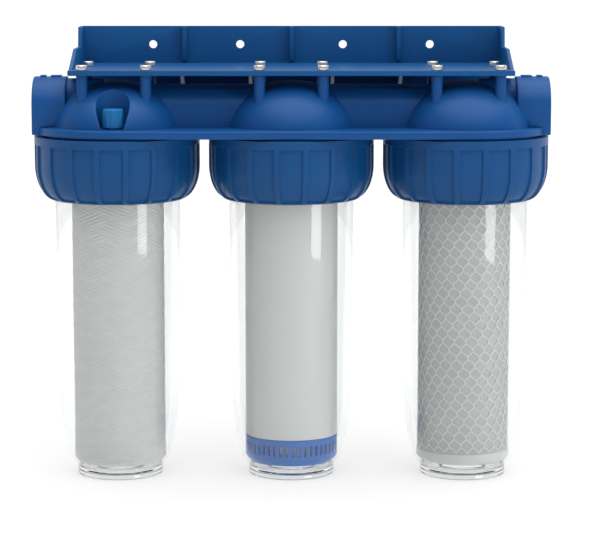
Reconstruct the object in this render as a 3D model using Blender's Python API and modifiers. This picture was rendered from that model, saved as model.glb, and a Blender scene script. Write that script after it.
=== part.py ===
"""Three-stage cartridge filter housing: wall bracket, moulded head, three clear bowls and three cartridges.

Frame: metres, +Z up, the wall at +Y, water flows from the -X port to the +X port.
The origin is on the floor plane that the three bowl feet stand on, in the middle of the housing.
"""

import math

import bmesh
import bpy
from mathutils import Matrix

MM = 0.001

# Stages
STAGE_PITCH = 129.0 * MM
CARTRIDGE_RADIUS = 34.3 * MM
CARTRIDGE_LENGTH = 248.0 * MM
CARTRIDGE_BASE_Z = 11.1 * MM
CARTRIDGE_TOP_Z = CARTRIDGE_BASE_Z + CARTRIDGE_LENGTH
GAP = 0.3 * MM

# Lock ring
RING_RADIUS = 61.1 * MM
RING_BOTTOM_Z = 207.9 * MM
RING_TOP_Z = 254.7 * MM
RING_BORE = 55.7 * MM
RING_NECK = 47.4 * MM

# Head
FLANGE_BOTTOM_Z = 256.1 * MM
FLANGE_TOP_Z = 261.8 * MM
FLANGE_RADIUS = 59.3 * MM
DOME_RADIUS = 50.8 * MM
DOME_CENTRE_Z = 244.7 * MM
HEAD_WALL = 3.9 * MM
SKIRT_RADIUS = 53.6 * MM
SKIRT_BORE = 48.8 * MM
SKIRT_BOTTOM_Z = 231.0 * MM
PORT_HALF_WIDTH = 21.8 * MM
PORT_CENTRE_Z = 276.2 * MM
PORT_END_X = 189.9 * MM
PORT_BORE = 12.6 * MM
PORT_DEPTH = 17.0 * MM
CROSSOVER_HALF_WIDTH = 19.8 * MM
CROSSOVER_CENTRE_Z = 273.6 * MM
PASSAGE_RADIUS = 9.0 * MM
PASSAGE_Z = 275.0 * MM
HUB_RADIUS = 17.0 * MM
POST_RADIUS = 4.15 * MM
POST_X = 23.2 * MM
POST_Y = 27.0 * MM

# Wall bracket
SHELF_BOTTOM_Z = 300.0 * MM
SHELF_TOP_Z = 303.9 * MM
SHELF_FRONT = 33.0 * MM
BRACKET_HALF_WIDTH = 162.2 * MM
PLATE_FRONT = 75.1 * MM
PLATE_THICKNESS = 4.0 * MM
PLATE_TOP_Z = 332.1 * MM
PLATE_BOTTOM_Z = 286.8 * MM
WALL_HOLE_RADIUS = 3.1 * MM
WALL_HOLE_Z = 318.0 * MM
WALL_HOLE_X = (-106.4 * MM, -39.5 * MM, 39.5 * MM, 106.4 * MM)

# Screws
SCREW_HEAD_RADIUS = 4.3 * MM
SCREW_HEAD_HEIGHT = 3.4 * MM
SCREW_SHANK_RADIUS = 1.8 * MM
SCREW_LENGTH = 17.0 * MM

# Bowl
BOWL_FLANGE_RADIUS = 54.0 * MM
BOWL_FLANGE_BOTTOM_Z = 225.0 * MM
BOWL_FLANGE_TOP_Z = SKIRT_BOTTOM_Z - GAP
BOWL_COLLAR_RADIUS = 47.6 * MM
BOWL_TOP_Z = 245.5 * MM
GROOVE_RADIUS = 44.6 * MM
GROOVE_TOP_Z = 240.6 * MM
GROOVE_BOTTOM_Z = 236.4 * MM
O_RING_RADIUS = 46.4 * MM
O_RING_CORD = 1.7 * MM
FOOT_RADIUS = 31.9 * MM

# Vent screw, on the first stage only
VENT_OFFSET = 39.0 * MM
POCKET_RADIUS = 12.2 * MM
POCKET_FLOOR_Z = 262.2 * MM
POCKET_UNDERSIDE_Z = 259.7 * MM
KNOB_TOP_Z = 276.9 * MM
KNOB_BOTTOM_Z = 263.2 * MM
KNOB_TOP_RADIUS = 7.4 * MM
KNOB_BOTTOM_RADIUS = 7.9 * MM

# The stage axes stand forward of the box's middle, because the bracket reaches back to the wall.
WALL_PLANE = PLATE_FRONT + PLATE_THICKNESS
STAGE_Y = (RING_RADIUS - WALL_PLANE) / 2
STAGE_X = (-STAGE_PITCH, 0.0, STAGE_PITCH)

# Facets of a full turn, for large, middle and small round pieces
ROUND = 26
MIDDLE_ROUND = 16
SMALL_ROUND = 8
HALF_FACET = math.pi / ROUND

for old in list(bpy.data.objects):
    bpy.data.objects.remove(old)

parts = bpy.data.collections.new("cartridge_filter_housing")
cutters = bpy.data.collections.new("cutters")
bpy.context.scene.collection.children.link(parts)
bpy.context.scene.collection.children.link(cutters)


def principled(name, colour, roughness, alpha=1.0):
    """One plastic-like material, opaque unless an alpha is given."""
    made = bpy.data.materials.new(name)
    made.use_nodes = True
    shader = made.node_tree.nodes["Principled BSDF"]
    shader.inputs["Base Color"].default_value = (*colour, 1.0)
    shader.inputs["Roughness"].default_value = roughness
    shader.inputs["Alpha"].default_value = alpha
    return made


HEAD_BLUE = principled("head_blue_polypropylene", (0.020, 0.108, 0.292), 0.38)
RING_BLUE = principled("ring_blue_polypropylene", (0.022, 0.112, 0.300), 0.35)
BRACKET_BLUE = principled("bracket_blue_polypropylene", (0.020, 0.100, 0.280), 0.40)
KNOB_BLUE = principled("knob_blue_nylon", (0.040, 0.150, 0.360), 0.35)
SCREW_STEEL = principled("zinc_plated_steel", (0.80, 0.80, 0.78), 0.30)
SCREW_STEEL.node_tree.nodes["Principled BSDF"].inputs["Metallic"].default_value = 1.0
CLEAR_BOWL = principled("clear_san_bowl", (0.93, 0.95, 0.95), 0.04, 0.18)
SEAL_BLACK = principled("black_nitrile_seal", (0.015, 0.015, 0.016), 0.55)
YARN_WHITE = principled("white_polypropylene_yarn", (0.78, 0.78, 0.77), 0.85)
CORE_WHITE = principled("white_polypropylene_core", (0.80, 0.80, 0.80), 0.45)
SHELL_WHITE = principled("white_polypropylene_shell", (0.78, 0.78, 0.78), 0.40)
CAP_BLUE = principled("bright_blue_cap", (0.050, 0.170, 0.530), 0.38)
CAP_WHITE = principled("white_end_cap", (0.80, 0.80, 0.79), 0.40)
PAD_WHITE = principled("white_felt_pad", (0.75, 0.75, 0.73), 0.95)
CARBON_BLACK = principled("black_activated_carbon", (0.012, 0.012, 0.013), 0.90)
FELT_GREY = principled("light_grey_felt", (0.55, 0.56, 0.57), 0.95)
NET_WHITE = principled("white_polyethylene_net", (0.85, 0.85, 0.85), 0.50)
GASKET_WHITE = principled("white_foam_gasket", (0.82, 0.82, 0.80), 0.80)


def add_object(name, mesh, material=None, at=(0.0, 0.0, 0.0)):
    """A finished piece when it has a material, and otherwise a hidden shape that a Boolean uses."""
    made = bpy.data.objects.new(name, mesh)
    made.location = at
    if material is None:
        cutters.objects.link(made)
        made.hide_render = True
        made.display_type = "WIRE"
    else:
        parts.objects.link(made)
        mesh.materials.clear()
        mesh.materials.append(material)
    return made


def profile_mesh(name, points, closed):
    """A line of edges in the XZ plane, joined end to end when it is closed."""
    mesh = bpy.data.meshes.new(name)
    edges = [(i, i + 1) for i in range(len(points) - 1)]
    if closed:
        edges.append((len(points) - 1, 0))
    mesh.from_pydata([(x, 0.0, z) for x, z in points], edges, [])
    return mesh


def turned(name, points, material=None, at=(0.0, 0.0, 0.0), steps=ROUND, closed=False, phase=0.0):
    """A piece turned about Z from a profile that runs down its outer side."""
    made = add_object(name, profile_mesh(name, points, closed), material, at)
    made.rotation_euler.z = phase
    screw = made.modifiers.new("turn", "SCREW")
    screw.steps = steps
    screw.render_steps = steps
    screw.use_merge_vertices = True
    screw.merge_threshold = 0.00001
    return made


def tube(name, outer, inner, bottom, top, material=None, at=(0.0, 0.0, 0.0), steps=ROUND):
    """A straight tube or washer: a turned rectangle."""
    section = [(outer, top), (outer, bottom), (inner, bottom), (inner, top)]
    return turned(name, section, material, at, steps, closed=True)


def disc(name, radius, bottom, top, material=None, at=(0.0, 0.0, 0.0), steps=ROUND, phase=0.0):
    """A plain cylinder standing on Z."""
    section = [(0.0, top), (radius, top), (radius, bottom), (0.0, bottom)]
    return turned(name, section, material, at, steps, phase=phase)


def arc(centre_r, centre_z, half_width, half_height, start, end, count):
    """Points on an ellipse, with its angles in degrees measured up from the horizontal."""
    angles = [math.radians(start + (end - start) * i / count) for i in range(count + 1)]
    return [(centre_r + half_width * math.cos(a), centre_z + half_height * math.sin(a)) for a in angles]


def cap_arc(radius, top_angle, low_z, count):
    """The dome's profile: part of a sphere about the dome centre, from a top angle down to a height."""
    low_angle = math.degrees(math.asin((low_z - DOME_CENTRE_Z) / radius))
    points = arc(0.0, DOME_CENTRE_Z, radius, radius, top_angle, low_angle, count)
    if top_angle == 90.0:
        points[0] = (0.0, DOME_CENTRE_Z + radius)
    return points


def combine(target, other, operation):
    """One Boolean step on a piece."""
    step = target.modifiers.new(f"{operation.lower()}_{other.name}", "BOOLEAN")
    step.object = other
    step.operation = operation
    step.solver = "EXACT"


def mesh_of(*builders):
    """One mesh that holds what each builder adds to it."""
    shape = bmesh.new()
    for build in builders:
        build(shape)
    mesh = bpy.data.meshes.new("shape")
    shape.to_mesh(mesh)
    shape.free()
    return mesh


def box(low, high):
    """A builder for a box between two corners."""
    def build(shape):
        cube = bmesh.ops.create_cube(shape, size=1.0)["verts"]
        bmesh.ops.scale(shape, vec=[h - l for l, h in zip(low, high)], verts=cube)
        bmesh.ops.translate(shape, vec=[(l + h) / 2 for l, h in zip(low, high)], verts=cube)
    return build


def rod(start, end, radius, steps=SMALL_ROUND):
    """A builder for a cylinder along X, Y or Z between two points."""
    def build(shape):
        length = math.dist(start, end)
        made = bmesh.ops.create_cone(
            shape, cap_ends=True, segments=steps, radius1=radius, radius2=radius, depth=length
        )["verts"]
        along = max(range(3), key=lambda i: abs(end[i] - start[i]))
        if along < 2:
            turn = {0: ((0, 1, 0), math.pi / 2), 1: ((1, 0, 0), -math.pi / 2)}[along]
            axis, angle = turn
            rotate_about(shape, made, axis, angle)
        bmesh.ops.translate(shape, vec=[(s + e) / 2 for s, e in zip(start, end)], verts=made)
    return build


def rotate_about(shape, verts, axis, angle):
    """Turn some vertices about an axis through the origin."""
    bmesh.ops.rotate(shape, cent=(0, 0, 0), matrix=Matrix.Rotation(angle, 3, axis), verts=verts)


def flat_outline(name, points, thickness, at=(0.0, 0.0, 0.0), rotation=(0.0, 0.0, 0.0), material=None):
    """A plate cut to an outline, half its thickness to each side, made a mesh so that Booleans can use it."""
    curve = bpy.data.curves.new(name, "CURVE")
    curve.dimensions = "2D"
    curve.fill_mode = "BOTH"
    curve.extrude = thickness / 2
    spline = curve.splines.new("POLY")
    spline.points.add(len(points) - 1)
    for point, (x, y) in zip(spline.points, points):
        point.co = (x, y, 0.0, 1.0)
    spline.use_cyclic_u = True
    drawn = bpy.data.objects.new(name, curve)
    bpy.context.scene.collection.objects.link(drawn)
    drawn.location = at
    drawn.rotation_euler = rotation
    bpy.context.view_layer.update()
    mesh = bpy.data.meshes.new_from_object(drawn.evaluated_get(bpy.context.evaluated_depsgraph_get()))
    shape = bmesh.new()
    shape.from_mesh(mesh)
    bmesh.ops.remove_doubles(shape, verts=shape.verts, dist=0.00001)
    bmesh.ops.transform(shape, matrix=drawn.matrix_world, verts=shape.verts)
    bmesh.ops.recalc_face_normals(shape, faces=shape.faces)
    shape.to_mesh(mesh)
    shape.free()
    bpy.data.objects.remove(drawn)
    return add_object(name, mesh, material)


def arch_points(half_width, centre_z, bottom_z, steps):
    """A round-topped arch outline with straight sides down to a flat foot, in Y and Z."""
    top = [(half_width * math.cos(a), centre_z + half_width * math.sin(a))
           for a in (math.pi * i / steps for i in range(steps + 1))]
    return top + [(-half_width, bottom_z), (half_width, bottom_z)]


def arch_bar(name, half_width, centre_z, bottom_z, x_start, x_end):
    """A bar of arch section lying along X over the stage axes."""
    outline = arch_points(half_width, centre_z, bottom_z, 9)
    middle = ((x_start + x_end) / 2, STAGE_Y, 0.0)
    return flat_outline(name, outline, x_end - x_start, middle, (math.pi / 2, 0.0, math.pi / 2))


def at_stage(index):
    """The foot of a stage's axis."""
    return (STAGE_X[index], STAGE_Y, 0.0)


def build_head():
    """The moulded head: three domes with threaded skirts, joined by a flange and two crossovers."""
    around = [math.radians(-90 + 180 * i / 12) for i in range(13)]
    right = [(STAGE_PITCH + FLANGE_RADIUS * math.cos(a), FLANGE_RADIUS * math.sin(a)) for a in around]
    outline = right + [(-x, -y) for x, y in right]
    middle_z = (FLANGE_BOTTOM_Z + FLANGE_TOP_Z) / 2
    flange = FLANGE_TOP_Z - FLANGE_BOTTOM_Z
    head = flat_outline("head_manifold", outline, flange, (0.0, STAGE_Y, middle_z), material=HEAD_BLUE)

    skirt_shoulder_z = FLANGE_BOTTOM_Z + 2.6 * MM
    outside = cap_arc(DOME_RADIUS, 90.0, FLANGE_TOP_Z - 1.0 * MM, 6) + [
        (SKIRT_RADIUS, skirt_shoulder_z), (SKIRT_RADIUS, SKIRT_BOTTOM_Z), (0.0, SKIRT_BOTTOM_Z)
    ]
    cavity_step_z = FLANGE_BOTTOM_Z - 0.4 * MM
    inside = cap_arc(DOME_RADIUS - HEAD_WALL, 90.0, cavity_step_z, 5) + [
        (SKIRT_BORE, cavity_step_z), (SKIRT_BORE, SKIRT_BOTTOM_Z - MM), (0.0, SKIRT_BOTTOM_Z - MM)
    ]
    for index in range(3):
        body = turned(f"stage_body_{index + 1}", outside, at=at_stage(index), phase=HALF_FACET)
        combine(head, body, "UNION")
    buried = 36.0 * MM
    reach = STAGE_PITCH + buried + 2.0 * MM
    crossover = arch_bar(
        "crossover", CROSSOVER_HALF_WIDTH, CROSSOVER_CENTRE_Z, FLANGE_BOTTOM_Z + 1.0 * MM, -reach, reach
    )
    combine(head, crossover, "UNION")
    port = (PORT_HALF_WIDTH, PORT_CENTRE_Z, FLANGE_BOTTOM_Z + 0.2 * MM)
    inlet = arch_bar("inlet_port", *port, -PORT_END_X, STAGE_X[0] - buried)
    outlet = arch_bar("outlet_port", *port, STAGE_X[2] + buried, PORT_END_X)
    combine(head, inlet, "UNION")
    combine(head, outlet, "UNION")

    post_tops = [(x + side * POST_X, STAGE_Y + depth * POST_Y)
                 for x in STAGE_X for side in (-1, 1) for depth in (-1, 1)]
    post_root_z = FLANGE_TOP_Z + 1.2 * MM
    post_top_z = SHELF_BOTTOM_Z - GAP
    posts = mesh_of(*[rod((x, y, post_root_z), (x, y, post_top_z), POST_RADIUS) for x, y in post_tops])
    combine(head, add_object("bracket_posts", posts), "UNION")

    for index in range(3):
        cavity = turned(f"stage_cavity_{index + 1}", inside, at=at_stage(index), phase=HALF_FACET / 2)
        combine(head, cavity, "DIFFERENCE")

    nose_radius = 12.0 * MM
    nose_bottom_z = CARTRIDGE_TOP_Z - 9.0 * MM
    seat_z = CARTRIDGE_TOP_Z + GAP
    hub_root_z = 292.0 * MM
    hub = [(0.0, hub_root_z), (HUB_RADIUS, hub_root_z), (HUB_RADIUS, seat_z), (nose_radius, seat_z),
           (nose_radius, nose_bottom_z), (0.0, nose_bottom_z)]
    link_radius = PASSAGE_RADIUS + 3.2 * MM
    for index in range(3):
        half_step = math.pi / MIDDLE_ROUND
        spigot = turned(f"hub_{index + 1}", hub, at=at_stage(index), steps=MIDDLE_ROUND, phase=half_step)
        combine(head, spigot, "UNION")
    links = mesh_of(*[
        rod((x + 8.0 * MM, STAGE_Y, PASSAGE_Z), (x + 40.0 * MM, STAGE_Y, PASSAGE_Z), link_radius, MIDDLE_ROUND)
        for x in STAGE_X
    ])
    combine(head, add_object("hub_links", links), "UNION")
    build_vent_seat(head)

    risers = mesh_of(*[
        rod((x, STAGE_Y, nose_bottom_z - MM), (x, STAGE_Y, PASSAGE_Z + 3.0 * MM), PASSAGE_RADIUS, MIDDLE_ROUND)
        for x in STAGE_X
    ])
    combine(head, add_object("hub_bores", risers), "DIFFERENCE")
    inlet_mouth = PORT_END_X - PORT_DEPTH
    cavity_side = 30.0 * MM
    runs = [
        (-inlet_mouth - MM, STAGE_X[0] - cavity_side),
        (STAGE_X[0], STAGE_X[1] - cavity_side),
        (STAGE_X[1], STAGE_X[2] - cavity_side),
        (STAGE_X[2], inlet_mouth + MM),
    ]
    channels = mesh_of(*[
        rod((start, STAGE_Y, PASSAGE_Z), (end, STAGE_Y, PASSAGE_Z), PASSAGE_RADIUS, 12) for start, end in runs
    ])
    combine(head, add_object("water_channels", channels), "DIFFERENCE")
    mouths = mesh_of(*[
        rod((side * inlet_mouth, STAGE_Y, PORT_CENTRE_Z), (side * (PORT_END_X + MM), STAGE_Y, PORT_CENTRE_Z),
            PORT_BORE, MIDDLE_ROUND)
        for side in (-1, 1)
    ])
    combine(head, add_object("port_bores", mouths), "DIFFERENCE")
    pilot_bottom = SHELF_TOP_Z - SCREW_LENGTH - 2.0 * MM
    pilot_radius = SCREW_SHANK_RADIUS + 0.4 * MM
    pilots = mesh_of(*[
        rod((x, y, pilot_bottom), (x, y, SHELF_BOTTOM_Z), pilot_radius, 6) for x, y in post_tops
    ])
    combine(head, add_object("screw_pilots", pilots), "DIFFERENCE")
    return post_tops


def build_vent_seat(head):
    """The pocket in the first dome, the wall round it inside, and the short pipe for the vent knob."""
    axis = (STAGE_X[0], STAGE_Y - VENT_OFFSET, 0.0)
    boss_radius = POCKET_RADIUS + 3.0 * MM
    wall = disc("vent_boss", boss_radius, POCKET_UNDERSIDE_Z, 292.0 * MM, at=axis, steps=MIDDLE_ROUND)
    inner_limit = cap_arc(DOME_RADIUS - 1.5 * MM, 90.0, POCKET_UNDERSIDE_Z - MM, 8) + [
        (0.0, POCKET_UNDERSIDE_Z - MM)
    ]
    combine(wall, turned("dome_limit", inner_limit, at=at_stage(0)), "INTERSECT")
    combine(head, wall, "UNION")
    pocket = disc("vent_pocket", POCKET_RADIUS, POCKET_FLOOR_Z, 296.0 * MM, at=axis, steps=MIDDLE_ROUND)
    combine(head, pocket, "DIFFERENCE")
    pipe_top_z = 268.6 * MM
    pipe = disc("vent_pipe", 4.9 * MM, POCKET_FLOOR_Z - MM, pipe_top_z, at=axis, steps=SMALL_ROUND, phase=0.25)
    combine(head, pipe, "UNION")
    bore_bottom_z = POCKET_UNDERSIDE_Z - 3.0 * MM
    bore = disc("vent_bore", 2.8 * MM, bore_bottom_z, pipe_top_z + 0.4 * MM, at=axis, steps=SMALL_ROUND)
    combine(head, bore, "DIFFERENCE")


def build_vent_screw():
    """The hollow vent knob with its stem, and the O-ring that it presses on the vent pipe."""
    axis = (STAGE_X[0], STAGE_Y - VENT_OFFSET, 0.0)
    hollow = 5.5 * MM
    hollow_top = 271.6 * MM
    stem = 2.3 * MM
    stem_bottom = 260.4 * MM
    bevel = 0.8 * MM
    profile = [
        (0.0, KNOB_TOP_Z), (KNOB_TOP_RADIUS - bevel, KNOB_TOP_Z), (KNOB_TOP_RADIUS, KNOB_TOP_Z - bevel),
        (KNOB_BOTTOM_RADIUS, KNOB_BOTTOM_Z), (hollow, KNOB_BOTTOM_Z), (hollow, hollow_top), (stem, hollow_top),
        (stem, stem_bottom), (0.0, stem_bottom - MM),
    ]
    turned("vent_knob", profile, KNOB_BLUE, axis, MIDDLE_ROUND)
    o_ring("vent_o_ring", axis, 270.1 * MM, 3.95 * MM, 1.1 * MM, 16, 6)


def o_ring(name, at, height, radius, cord, steps, sides):
    """A torus of round cord."""
    points = [(radius + cord * math.cos(a), height + cord * math.sin(a))
              for a in (-2 * math.pi * i / sides for i in range(sides))]
    return turned(name, points, SEAL_BLACK, at, steps, closed=True)


def build_bracket(post_tops):
    """The wall bracket: a back plate, a shelf over the head, ribs, end cheeks and gussets under the shelf."""
    back = STAGE_Y + WALL_PLANE
    plate_front = STAGE_Y + PLATE_FRONT
    shelf_front = STAGE_Y - SHELF_FRONT
    wide = BRACKET_HALF_WIDTH
    plate = mesh_of(box((-wide, plate_front, PLATE_BOTTOM_Z), (wide, back, PLATE_TOP_Z)))
    bracket = add_object("wall_bracket", plate, BRACKET_BLUE)
    shelf = mesh_of(box((-wide, shelf_front, SHELF_BOTTOM_Z), (wide, plate_front + MM, SHELF_TOP_Z)))
    combine(bracket, add_object("shelf", shelf), "UNION")

    cheek = 2.7 * MM
    edge = 0.2 * MM
    cheek_top_z = PLATE_TOP_Z - edge
    cheek_outline = [
        (plate_front + MM, cheek_top_z), (STAGE_Y + 55.1 * MM, cheek_top_z), (STAGE_Y + 52.0 * MM, 317.4 * MM),
        (STAGE_Y + 13.9 * MM, 317.4 * MM), (STAGE_Y - 25.5 * MM, SHELF_TOP_Z),
        (STAGE_Y - 25.5 * MM, SHELF_TOP_Z - MM), (plate_front + MM, SHELF_TOP_Z - MM),
    ]
    gusset_outline = [
        (plate_front + MM, SHELF_BOTTOM_Z + MM), (STAGE_Y + 36.0 * MM, SHELF_BOTTOM_Z + MM),
        (STAGE_Y + 36.0 * MM, SHELF_BOTTOM_Z), (STAGE_Y + 60.0 * MM, PLATE_BOTTOM_Z + edge),
        (plate_front + MM, PLATE_BOTTOM_Z + edge),
    ]
    upright = (math.pi / 2, 0.0, math.pi / 2)
    for side, name in ((-1, "left_cheek"), (1, "right_cheek")):
        at = (side * (wide - cheek / 2 - edge), 0.0, 0.0)
        combine(bracket, flat_outline(name, cheek_outline, cheek, at, upright), "UNION")
    for index, x in enumerate((-83.0 * MM, -31.2 * MM, 31.2 * MM, 83.0 * MM)):
        gusset = flat_outline(f"gusset_{index + 1}", gusset_outline, 2.5 * MM, (x, 0.0, 0.0), upright)
        combine(bracket, gusset, "UNION")
    rib_half = 1.7 * MM
    ribs = mesh_of(*[
        box((x - rib_half, plate_front - 6.0 * MM, SHELF_TOP_Z + 2.0 * MM),
            (x + rib_half, plate_front + MM, cheek_top_z))
        for x in (-82.1 * MM, 0.0, 82.1 * MM)
    ])
    combine(bracket, add_object("plate_ribs", ribs), "UNION")
    holes = mesh_of(*[
        rod((x, plate_front - MM, WALL_HOLE_Z), (x, back + MM, WALL_HOLE_Z), WALL_HOLE_RADIUS)
        for x in WALL_HOLE_X
    ])
    combine(bracket, add_object("wall_holes", holes), "DIFFERENCE")
    clearance = SCREW_SHANK_RADIUS + 0.6 * MM
    shelf_holes = mesh_of(*[
        rod((x, y, SHELF_BOTTOM_Z - MM), (x, y, SHELF_TOP_Z + MM), clearance, 6) for x, y in post_tops
    ])
    combine(bracket, add_object("shelf_holes", shelf_holes), "DIFFERENCE")


def build_screws(post_tops):
    """Twelve pan-head screws through the shelf into the head's posts, sharing one mesh."""
    seat = SHELF_TOP_Z + GAP
    top = seat + SCREW_HEAD_HEIGHT
    profile = [
        (0.0, top), (SCREW_HEAD_RADIUS - 1.3 * MM, top), (SCREW_HEAD_RADIUS, top - 1.5 * MM),
        (SCREW_HEAD_RADIUS, seat), (SCREW_SHANK_RADIUS, seat), (SCREW_SHANK_RADIUS, seat - SCREW_LENGTH + MM),
        (0.0, seat - SCREW_LENGTH),
    ]
    first = turned("bracket_screw_1", profile, SCREW_STEEL, (*post_tops[0], 0.0), SMALL_ROUND)
    for number, (x, y) in enumerate(post_tops[1:], 2):
        copy = first.copy()
        copy.name = f"bracket_screw_{number}"
        copy.location = (x, y, 0.0)
        parts.objects.link(copy)


def ring_outside():
    """The lock ring's outer side, rounded in towards its lower lip."""
    curve_centre = 47.5 * MM
    curve_top_z = 233.0 * MM
    height = curve_top_z - RING_BOTTOM_Z
    return arc(curve_centre, curve_top_z, RING_RADIUS - curve_centre, height, 0.0, -75.0, 4)


def build_lock_ring(index):
    """A lock ring: straight band on top, rounded below, with an inner ledge that lifts the bowl."""
    ledge_z = BOWL_FLANGE_BOTTOM_Z - GAP
    body = [(RING_RADIUS, RING_TOP_Z)] + ring_outside() + [
        (RING_NECK + 2.0 * MM, RING_BOTTOM_Z), (RING_NECK, RING_BOTTOM_Z), (RING_NECK, ledge_z),
        (RING_BORE, ledge_z), (RING_BORE, RING_TOP_Z),
    ]
    turned(f"lock_ring_{index + 1}", body, RING_BLUE, at_stage(index), closed=True, phase=HALF_FACET)


def build_bowl(index):
    """A clear bowl: collar with an O-ring groove, clamped flange, long tapered wall, shoulder, foot ring."""
    foot_inside = FOOT_RADIUS - 3.6 * MM
    sole_z = 3.4 * MM
    outside = [
        (BOWL_COLLAR_RADIUS, BOWL_TOP_Z), (BOWL_COLLAR_RADIUS, GROOVE_TOP_Z), (GROOVE_RADIUS, GROOVE_TOP_Z),
        (GROOVE_RADIUS, GROOVE_BOTTOM_Z), (BOWL_COLLAR_RADIUS, GROOVE_BOTTOM_Z),
        (BOWL_COLLAR_RADIUS, BOWL_FLANGE_TOP_Z), (BOWL_FLANGE_RADIUS, BOWL_FLANGE_TOP_Z),
        (BOWL_FLANGE_RADIUS, BOWL_FLANGE_BOTTOM_Z), (46.7 * MM, BOWL_FLANGE_BOTTOM_Z),
        (43.6 * MM, 50.0 * MM), (41.6 * MM, 31.0 * MM), (38.6 * MM, 17.0 * MM), (36.4 * MM, 11.4 * MM),
        (FOOT_RADIUS, 6.8 * MM), (FOOT_RADIUS, 0.0), (foot_inside, 0.0), (foot_inside, sole_z), (0.0, sole_z),
    ]
    seat_z = CARTRIDGE_BASE_Z - GAP
    seat = 16.5 * MM
    spigot = 11.8 * MM
    spigot_top_z = 20.5 * MM
    floor_z = 6.2 * MM
    bowl_bore = 42.2 * MM
    inside = [
        (0.0, spigot_top_z), (spigot, spigot_top_z), (spigot, seat_z), (seat, seat_z), (seat, floor_z),
        (28.5 * MM, floor_z), (32.2 * MM, 9.6 * MM), (35.4 * MM, 14.0 * MM), (38.2 * MM, 32.0 * MM),
        (39.8 * MM, 50.0 * MM), (bowl_bore, BOWL_FLANGE_BOTTOM_Z), (bowl_bore, BOWL_TOP_Z),
    ]
    turned(f"bowl_{index + 1}", inside + outside, CLEAR_BOWL, at_stage(index))
    o_ring(f"bowl_o_ring_{index + 1}", at_stage(index), (GROOVE_TOP_Z + GROOVE_BOTTOM_Z) / 2, O_RING_RADIUS,
           O_RING_CORD, ROUND, 5)


def build_wound_cartridge():
    """The first stage's sediment cartridge: yarn wound on a perforated core."""
    at = at_stage(0)
    core = 14.6 * MM
    shoulder = 3.0 * MM
    yarn = [
        (CARTRIDGE_RADIUS - shoulder, CARTRIDGE_TOP_Z), (CARTRIDGE_RADIUS, CARTRIDGE_TOP_Z - shoulder),
        (CARTRIDGE_RADIUS, CARTRIDGE_BASE_Z + shoulder), (CARTRIDGE_RADIUS - shoulder, CARTRIDGE_BASE_Z),
        (core + GAP, CARTRIDGE_BASE_Z), (core + GAP, CARTRIDGE_TOP_Z),
    ]
    turned("wound_yarn", yarn, YARN_WHITE, at, closed=True)
    tube("wound_core", core, core - 1.4 * MM, CARTRIDGE_BASE_Z, CARTRIDGE_TOP_Z, CORE_WHITE, at, MIDDLE_ROUND)


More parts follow.
